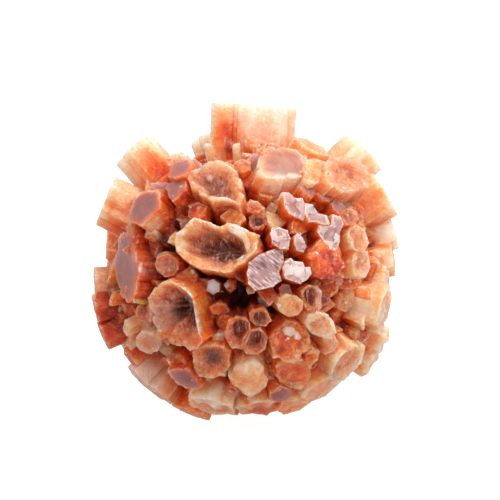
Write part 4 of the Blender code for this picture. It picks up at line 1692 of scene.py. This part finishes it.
# %% [markdown]
# ## Rims, grains and stains
# Thin rims are pale, because light comes through them. The whole stone is sugary: some grains are
# darker and some brighter, the brighter partly their own colour and partly painted glints, and a few
# flash as painted sparks. Separate little faces would glitter too, but it would take a million of
# them, and a colour for each grain looks the same from where the stone is seen. The spots of stain,
# painted light and painted shade come last.

# %% Rims, grains and stains
RIM = (0.93, 0.66, 0.48, 1.0)
GRAIN_SHADE = (0.76, 0.48, 0.38, 1.0)
PAINTED_SPARK = (1.0, 0.96, 0.93, 1.0)
# Painted shade: the near-black at the bottoms of the deep gaps and pits.
GAP_SHADE = (0.030, 0.006, 0.005, 1.0)
RIM_NOISE = (0.45, 1.0)
RIM_PATCHES = (0.40, 0.62, 0.05, 0.55)
GRAINS_BY_FLAT = (0.0, 0.5, 1.0, 0.15)
GRAINS_BY_WEAR = (0.0, 0.6, 0.35, 1.0)
GRAINS_BY_SIDE = (0.0, 1.0, 1.0, 0.45)
GRAINS_BY_PALE = (0.6, 0.9, 1.0, 0.22)
DARK_GRAINS = (0.35, 0.10)
BRIGHT_GRAINS = (0.70, 0.92, 0.0, 0.25)
BRIGHT_BY_HOLLOW = (0.2, 0.8, 1.0, 0.5)
WHITE_BY_PALE = (0.5, 0.9)
SPARK_GRAINS = (0.960, 0.970)
SPARK_HEIGHTS = (-0.1, 0.25)
SPARKS_BY_HOLLOW = (0.0, 1.0, 1.0, 0.5)
SPARKS_BY_SIDE = (0.0, 1.0, 1.0, 0.35)
SPARKS_BY_FLAT = (0.0, 0.5, 0.9, 0.3)


def rim_colour(tree, skin, colour):
    """Pale rims, here more and there less."""
    patchy = tree.spread(tree.noise(skin.place, *RIM_NOISE), *RIM_PATCHES)
    return tree.mix(tree.times(skin.rim, skin.worn, patchy), colour, RIM)


def grain_colour(tree, skin, colour):
    """Darker and brighter grains, the brighter partly painted glints, and a few painted sparks."""
    grain = skin.sugar["Grain"]
    flat = tree.math("MAXIMUM", skin.mirror_end, skin.sheen_end)
    grains = tree.times(
        tree.spread(flat, *GRAINS_BY_FLAT),
        tree.spread(skin.worn, *GRAINS_BY_WEAR),
        tree.spread(skin.on_side, *GRAINS_BY_SIDE),
        tree.spread(skin.pale, *GRAINS_BY_PALE),
    )
    shaded = tree.mix(1.0, colour, GRAIN_SHADE, "MULTIPLY")
    colour = tree.mix(tree.times(grains, tree.spread(grain, *DARK_GRAINS)), colour, shaded)
    # Brighter grains: partly their own paler colour and partly painted glints.
    bright = tree.times(
        grains,
        tree.spread(grain, *BRIGHT_GRAINS),
        tree.spread(skin.hollow, *BRIGHT_BY_HOLLOW),
    )
    colour = tree.mix(bright, colour, tree.mix(tree.spread(skin.pale, *WHITE_BY_PALE), GLINT, WHITE))
    # Painted sparks: a few grains painted near white as glints.
    painted_sparks = tree.times(
        tree.spread(grain, *SPARK_GRAINS),
        tree.spread(skin.sugar["Height"], *SPARK_HEIGHTS),
        tree.spread(skin.in_hollow, *SPARKS_BY_HOLLOW),
        tree.spread(skin.on_side, *SPARKS_BY_SIDE),
        tree.spread(flat, *SPARKS_BY_FLAT),
    )
    return tree.mix(painted_sparks, colour, PAINTED_SPARK)


def spots_and_painted_light(tree, skin, colour):
    """Pale spots and painted glints, then the painted near-black shade of the deep gaps."""
    colour = tree.mix(tree.math("MULTIPLY", skin.whitened_and_glints, 1.0, clamp=True), colour, WHITE)
    return tree.mix(tree.math("MULTIPLY", skin.darkened, 1.0, clamp=True), colour, GAP_SHADE)


print("the deepest gaps are", GAP_SHADE[:3])

# %% [markdown]
# ## Relief
# What is too fine for the mesh goes into the normal: ribs, grains, scratches and the steps between
# plates. A bump alone gives an even, plastic gloss. So each grain's normal is first tilted a little in
# its own direction, as real grains lie, and the bump comes on top. That breaks one wide highlight into
# the many small ones of wet sugar.

# %% Relief
BUMP_HEIGHT = 0.3 * MM
RIBS_BY_PALE = (0.4, 0.8, 1.0, 0.3)
WEAR_BUMP = 0.6
GRAIN_BUMP_BY_FLAT = (0.0, 1.0, 0.5, 0.10)
SCRATCH_BUMP = -0.5
PLATE_BUMP = 0.6
TILT_BY_FLAT = (0.0, 1.0, 1.0, 0.25)
TILT_BY_WEAR = (0.0, 1.0, 0.5, 2.0)
TILT_BY_HOLLOW = (0.0, 1.0, 0.6, 1.0)


def tilted_grains(tree, skin, flat):
    """The surface's own normal, tilted for each grain by itself."""
    amount = tree.times(
        tree.spread(flat, *TILT_BY_FLAT),
        tree.spread(skin.worn, *TILT_BY_WEAR),
        tree.spread(skin.in_hollow, *TILT_BY_HOLLOW),
    )
    tilt = tree.add("VectorMath", {0: skin.sugar["Tilt"], "Scale": amount}, operation="SCALE").outputs[0]
    level = tree.add("NewGeometry").outputs["Normal"]
    tilted = tree.add("VectorMath", {0: level, 1: tilt}, operation="ADD").outputs[0]
    return tree.add("VectorMath", {0: tilted}, operation="NORMALIZE").outputs[0]


def relief(tree, skin, lines):
    """The normal with all that is too fine for the mesh."""
    flat = tree.plus(skin.mirror_end, skin.sheen_end)
    bumps = tree.plus(
        tree.times(skin.ribs["Height"], skin.on_side, tree.spread(skin.pale, *RIBS_BY_PALE)),
        tree.times(skin.wear, WEAR_BUMP),
        tree.times(skin.sugar["Height"], tree.spread(flat, *GRAIN_BUMP_BY_FLAT)),
        tree.times(lines, skin.mirror_end, SCRATCH_BUMP),
        tree.times(skin.plates["Shade"], skin.mirror_end, skin.broken, PLATE_BUMP),
    )
    normal = tilted_grains(tree, skin, flat)
    sockets = {"Height": bumps, "Strength": 1.0, "Distance": BUMP_HEIGHT, "Normal": normal}
    return tree.add("Bump", sockets).outputs["Normal"]


print("the finest relief is", BUMP_HEIGHT / MM, "mm high")

# %% [markdown]
# ## The stone
# Light enters the stone and wanders about before it comes out. Clear glass would show the far side
# through every crystal, and this stone is cloudy, so the material scatters light under its surface
# instead, red light the furthest. Its gloss is that of broken stone: smooth, and a little duller where
# it is worn and on the sides.

# %% The stone
SCATTER_LENGTH = 7.5 * MM
SCATTER = (1.0, 0.80, 0.70)
STONE_IOR = 1.55
STONE_GLOSS = 0.45
SMOOTHEST = 0.10
SIDE_ROUGH = 0.03
WEAR_ROUGH = 0.10


def stone_material():
    """Banded aragonite, painted by what the faces carry."""
    material = bpy.data.materials.new("banded aragonite")
    material.use_nodes = True
    tree = Tree(material.node_tree)
    tree.tree.nodes.remove(tree.tree.nodes["Principled BSDF"])
    skin = Skin(tree)
    lines = dark_lines(tree, skin)
    colour = side_colour(tree, skin)
    colour = end_colour(tree, skin, colour)
    colour = hollow_colour(tree, skin, colour)
    colour = mirror_colour(tree, skin, colour, lines)
    colour = rim_colour(tree, skin, colour)
    colour = grain_colour(tree, skin, colour)
    colour = spots_and_painted_light(tree, skin, colour)
    roughness = tree.plus(
        SMOOTHEST,
        tree.times(skin.on_side, SIDE_ROUGH),
        tree.times(skin.worn, WEAR_ROUGH),
    )
    shader = tree.add("BsdfPrincipled", {
        "Base Color": colour,
        "Roughness": roughness,
        "Normal": relief(tree, skin, lines),
        "IOR": STONE_IOR,
        "Specular IOR Level": STONE_GLOSS,
        "Subsurface Weight": 1.0,
        "Subsurface Radius": SCATTER,
        "Subsurface Scale": SCATTER_LENGTH,
    })
    tree.tree.links.new(shader.outputs["BSDF"], tree.tree.nodes["Material Output"].inputs["Surface"])
    return material


cluster.data.materials.clear()
cluster.data.materials.append(stone_material())
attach(cluster, "root")
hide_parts("crystal_cluster")
print("the stone is painted with", len(cluster.data.materials[0].node_tree.nodes), "nodes")

# %% [markdown]
# ## The floor
# The stone was shot on a white table that fades into the background, with no shadow. A white floor
# under strong lamps could do that, but it would throw white light up into the stone and wash out its
# reds. So the floor glows white only for the camera. To the stone it is a dim, warm card, which gives
# the underside the rosy light that comes back from a real table beside red stone.

# %% The floor
FLOOR_HALF = 1.5
FLOOR_CELLS = 8
FLOOR_GREY = (0.30, 0.30, 0.30, 1.0)
FLOOR_ROUGH = 0.9
WARM_BOUNCE = (1.0, 0.74, 0.72, 1.0)
PURE_WHITE = (1.0, 1.0, 1.0, 1.0)
STONE_GLOW = 0.42
CAMERA_GLOW = 0.92


def floor_sheet():
    """A large pale sheet under the stone."""
    shaped = bmesh.new()
    bmesh.ops.create_grid(shaped, x_segments=FLOOR_CELLS, y_segments=FLOOR_CELLS, size=FLOOR_HALF)
    mesh = bpy.data.meshes.new("floor")
    shaped.to_mesh(mesh)
    shaped.free()
    sheet = bpy.data.objects.new("floor", mesh)
    bpy.context.scene.collection.objects.link(sheet)
    return sheet


def floor_material():
    """Pale grey that glows: white for the camera, dim and warm for the stone."""
    material = bpy.data.materials.new("pale floor")
    material.use_nodes = True
    tree = Tree(material.node_tree)
    shader = material.node_tree.nodes["Principled BSDF"]
    shader.inputs["Base Color"].default_value = FLOOR_GREY
    shader.inputs["Roughness"].default_value = FLOOR_ROUGH
    seen = tree.add("LightPath").outputs["Is Camera Ray"]
    glow = tree.spread(seen, 0.0, 1.0, STONE_GLOW, CAMERA_GLOW)
    tree.tree.links.new(tree.mix(seen, WARM_BOUNCE, PURE_WHITE), shader.inputs["Emission Color"])
    tree.tree.links.new(glow, shader.inputs["Emission Strength"])
    return material


floor = floor_sheet()
floor.data.materials.append(floor_material())
print("the floor is", 2 * FLOOR_HALF, "m wide")

# %% [markdown]
# ## Light
# A soft bright wall stands to the upper right and a dim one to the lower left, as in a small light
# tent. One large soft box overhead does most of the work. The sparkles on crystal faces are reflections
# of small things, which a soft tent doesn't have, so a ring of small far lamps is added for them: each
# is weak, and its light is seen only where a face happens to mirror it.

# %% Light
BRIGHT_SIDE = Vector((0.62, 0.30, 0.72)).normalized()
WALL_FADE = (-0.9, 0.9)
DIM_WALL = (0.30, 0.21, 0.20, 1.0)
BRIGHT_WALL = (0.66, 0.64, 0.64, 1.0)
CAMERA_WALL = (0.95, 0.95, 0.95, 1.0)
BOX_PLACE = Vector((0.30, 0.30, 0.75))
BOX_SIZE = 0.40
BOX_POWER = 5.4
SPARKLE_LAMPS = 9
SPARKLE_LIFTS = (math.radians(62), math.radians(30), math.radians(46))
SPARKLE_START = 0.3
SPARKLE_FAR = 0.75
SPARKLE_SIZE = 0.035
SPARKLE_POWER = 0.55


def area_light(name, place, size, power):
    """A soft square light that faces the stone."""
    light = bpy.data.lights.new(name, "AREA")
    light.size = size
    light.energy = power
    lamp = bpy.data.objects.new(name, light)
    lamp.location = CENTRE + place
    lamp.rotation_euler = (CENTRE - lamp.location).to_track_quat("-Z", "Y").to_euler()
    bpy.context.scene.collection.objects.link(lamp)


def studio_walls():
    """The light tent: bright to one side, dim to the other, and near white for the camera."""
    world = bpy.data.worlds.new("studio")
    world.use_nodes = True
    tree = Tree(world.node_tree)
    around = tree.add("TexCoord").outputs["Generated"]
    facing = tree.add("VectorMath", {0: around, 1: BRIGHT_SIDE}, operation="DOT_PRODUCT").outputs["Value"]
    shade = tree.mix(tree.spread(facing, *WALL_FADE), DIM_WALL, BRIGHT_WALL)
    shade = tree.mix(tree.add("LightPath").outputs["Is Camera Ray"], shade, CAMERA_WALL)
    background = world.node_tree.nodes["Background"]
    tree.tree.links.new(shade, background.inputs["Color"])
    background.inputs["Strength"].default_value = 1.0
    return world


bpy.context.scene.world = studio_walls()
area_light("overhead box", BOX_PLACE, BOX_SIZE, BOX_POWER)
for number in range(SPARKLE_LAMPS):
    turn = math.tau * (number + SPARKLE_START) / SPARKLE_LAMPS
    lift = SPARKLE_LIFTS[number % len(SPARKLE_LIFTS)]
    way = Vector((math.cos(turn) * math.cos(lift), math.sin(turn) * math.cos(lift), math.sin(lift)))
    area_light(f"sparkle lamp {number + 1}", way * SPARKLE_FAR, SPARKLE_SIZE, SPARKLE_POWER)
print("one soft box and", SPARKLE_LAMPS, "sparkle lamps")

# %% [markdown]
# ## The camera
# The front is seen from forty degrees above. The photograph has almost no perspective, so the lens is
# long and stands far away: its distance is worked out so that a millimetre at the ball's centre takes
# the right number of pixels. A small shift of the film brings the ball to its place in the frame.

# %% The camera
NEAREST_SEEN = 0.01

camera_data = bpy.data.cameras.new("camera")
camera_data.lens = LENS
camera_data.sensor_width = SENSOR
camera_data.clip_start = NEAREST_SEEN
camera_data.shift_x = (PHOTO_SIZE / 2 - BALL_PIXEL[0]) / PHOTO_SIZE
camera_data.shift_y = (BALL_PIXEL[1] - PHOTO_SIZE / 2) / PHOTO_SIZE
camera = bpy.data.objects.new("camera", camera_data)
facing_back = Matrix((ACROSS, UP, OUT)).transposed().to_4x4()
camera.matrix_world = Matrix.Translation(CENTRE + OUT * EYE_DISTANCE) @ facing_back
bpy.context.scene.collection.objects.link(camera)
bpy.context.scene.camera = camera
bpy.context.scene.view_settings.view_transform = "Standard"
print("the camera stands", round(EYE_DISTANCE, 3), "m from the ball's centre")
